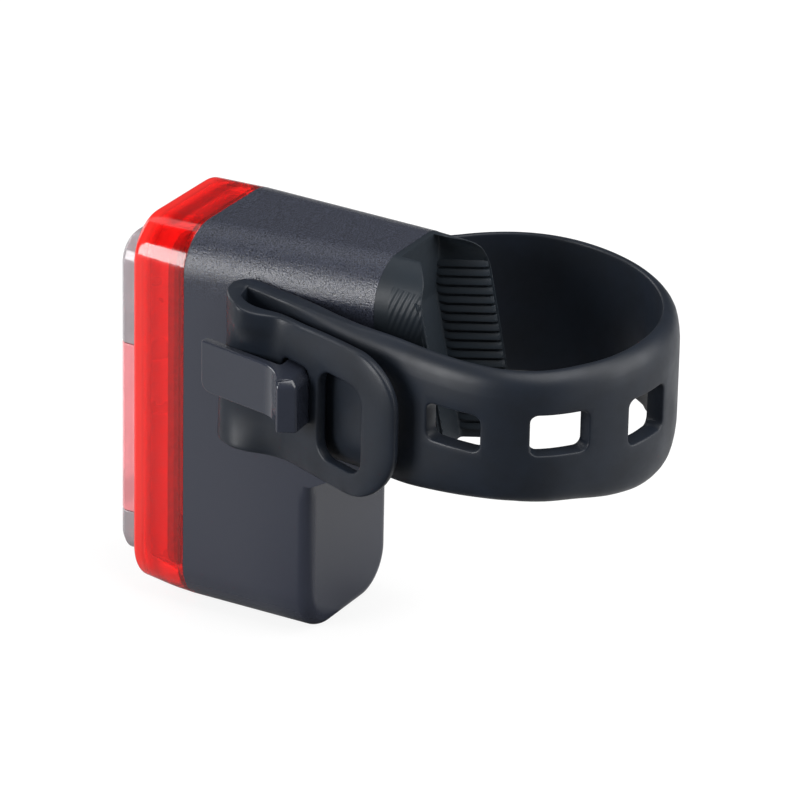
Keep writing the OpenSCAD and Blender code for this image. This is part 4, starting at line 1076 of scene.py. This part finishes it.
# pieces that keep their CAD form, with eased edges
easedSet = {
    "housing": (housingFinish, 0.00030), "strap_stud": (hookFinish, 0.00030),
    "mode_button": (buttonFinish, 0.00045), "button_bezel": (bezelFinish, 0.00012),
    "lower_bezel": (bezelFinish, 0.00012), "window_plate": (windowFinish, 0.00012),
    "port_cover": (sealFinish, 0.00030), "cover_anchor": (sealFinish, 0.00030),
    "light_guide": (guideFinish, 0.00015), "reflector_tray": (trayFinish, 0.00010),
    "circuit_board": (boardFinish, 0.00010), "lamps": (lampFinish, 0.00012),
    "tact_switch": (switchFinish, 0.00015), "switch_plunger": (switchFinish, 0.00015),
    "usb_socket": (steelFinish, 0.00008), "battery_cell": (cellFinish, 0.00050),
    "battery_foam": (foamFinish, 0.00015), "battery_leads": (leadFinish, 0.00008),
    "board_screws": (steelFinish, 0.00010), "hook_screws": (steelFinish, 0.00010),
    "stud_screw": (steelFinish, 0.00010), "lens_seal": (sealFinish, 0.00010), "stem_seal": (sealFinish, 0.00010),
}
slotOf = {n: g["slot"] for g in frame["record"].get("materials", []) for n in g.get("nodes", [])}
housingSet = {"back": 19.2, "half": 28.0, "flare": 2.09, "corner": 6.4, "soft": 1.8, "ramp": -5.4}


# the low back face's edge is rounded all the way round its corners
def roundLowBack(piece, s):
    work = bmesh.new()
    work.from_mesh(piece.data)
    bmesh.ops.triangulate(work, faces=work.faces[:])

    def edgeOf(co):
        x, y, z = np.array(co) * 1000 + postPlace
        w = faceSet["half"] - y * math.tan(math.radians(faceSet["draft"])) - s["corner"]
        h = s["half"] + y * math.tan(math.radians(s["flare"])) - s["corner"]
        q = np.array([abs(x) - w, abs(z) - h])
        out = np.maximum(q, 0)
        side = np.linalg.norm(out) + min(max(q), 0) - s["corner"]
        way = out / np.linalg.norm(out) if min(q) > 0 else (np.array([1, 0]) if q[0] > q[1] else np.array([0, 1]))
        return np.array([side, y - s["back"]]) + s["soft"], way * np.sign([x, z]), z

    for _ in range(9):
        inBand = {v for v in work.verts
                  if v.co.z < rowPoints((0, 0, s["ramp"] + 0.5))[2] and min(edgeOf(v.co)[0]) > -0.5}
        long = [e for e in work.edges if e.calc_length() > 0.00055 and (e.verts[0] in inBand or e.verts[1] in inBand)]
        if not long:
            break
        bmesh.ops.subdivide_edges(work, edges=long, cuts=1)
        bmesh.ops.triangulate(work, faces=[f for f in work.faces if len(f.verts) > 3])
    for v in work.verts:
        p, way, z = edgeOf(v.co)
        if z > s["ramp"] or min(p) <= 0 or np.linalg.norm(p) <= s["soft"]:
            continue
        step = p * (s["soft"] / np.linalg.norm(p) - 1) * float(smoothStep(s["ramp"], s["ramp"] - 3, z)) * 0.001
        v.co += Vector((step[0] * way[0], step[1], step[0] * way[1]))
    work.to_mesh(piece.data)
    work.free()
    own = piece.data.attributes.get("custom_normal")
    if own is not None:
        piece.data.attributes.remove(own)
    piece.data.set_sharp_from_angle(angle=math.radians(40))
    weighNormals(piece)


eased = {}
for nodeName, (nodeFinish, nodeEdge) in easedSet.items():
    eased[nodeName] = easedCopy(nodeName, nodeFinish, nodeEdge)
    if nodeName == "housing":
        roundLowBack(eased[nodeName], housingSet)
    stand(eased[nodeName], nodeName, slot=slotOf.get(nodeName))
print("eased pieces made")

# points at the strap's two joints, worked out but not used; the strap pieces are baked in place and the CAD strap
# nodes hidden
jointSet = {"pivot": (-13.4, 61.9601, 13.8), "way": (0.94, 0.342, 0), "reach": 3, "tabFrom": 12.5, "tabTo": 9.5}
pivot, along = np.array(jointSet["pivot"]), np.array(jointSet["way"]) * jointSet["reach"]
Vector(rowPoints(pivot - along))
Vector(rowPoints(pivot + along))
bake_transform(loopStrap)
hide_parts("strap_anchor", "strap_loop", "strap_run")
lean = math.radians(strapSet["tabLean"])
tabWay = np.array([math.sin(lean), math.cos(lean), 0])
tabBase = np.array([*strapSet["loopCentre"], 13.8]) + np.array([math.cos(lean), -math.sin(lean), 0]) * strapSet["tabOff"]
Vector(rowPoints(tabBase - jointSet["tabFrom"] * tabWay))
Vector(rowPoints(tabBase - jointSet["tabTo"] * tabWay))
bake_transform(tailStrap)
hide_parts("strap_tail", "pull_tab")
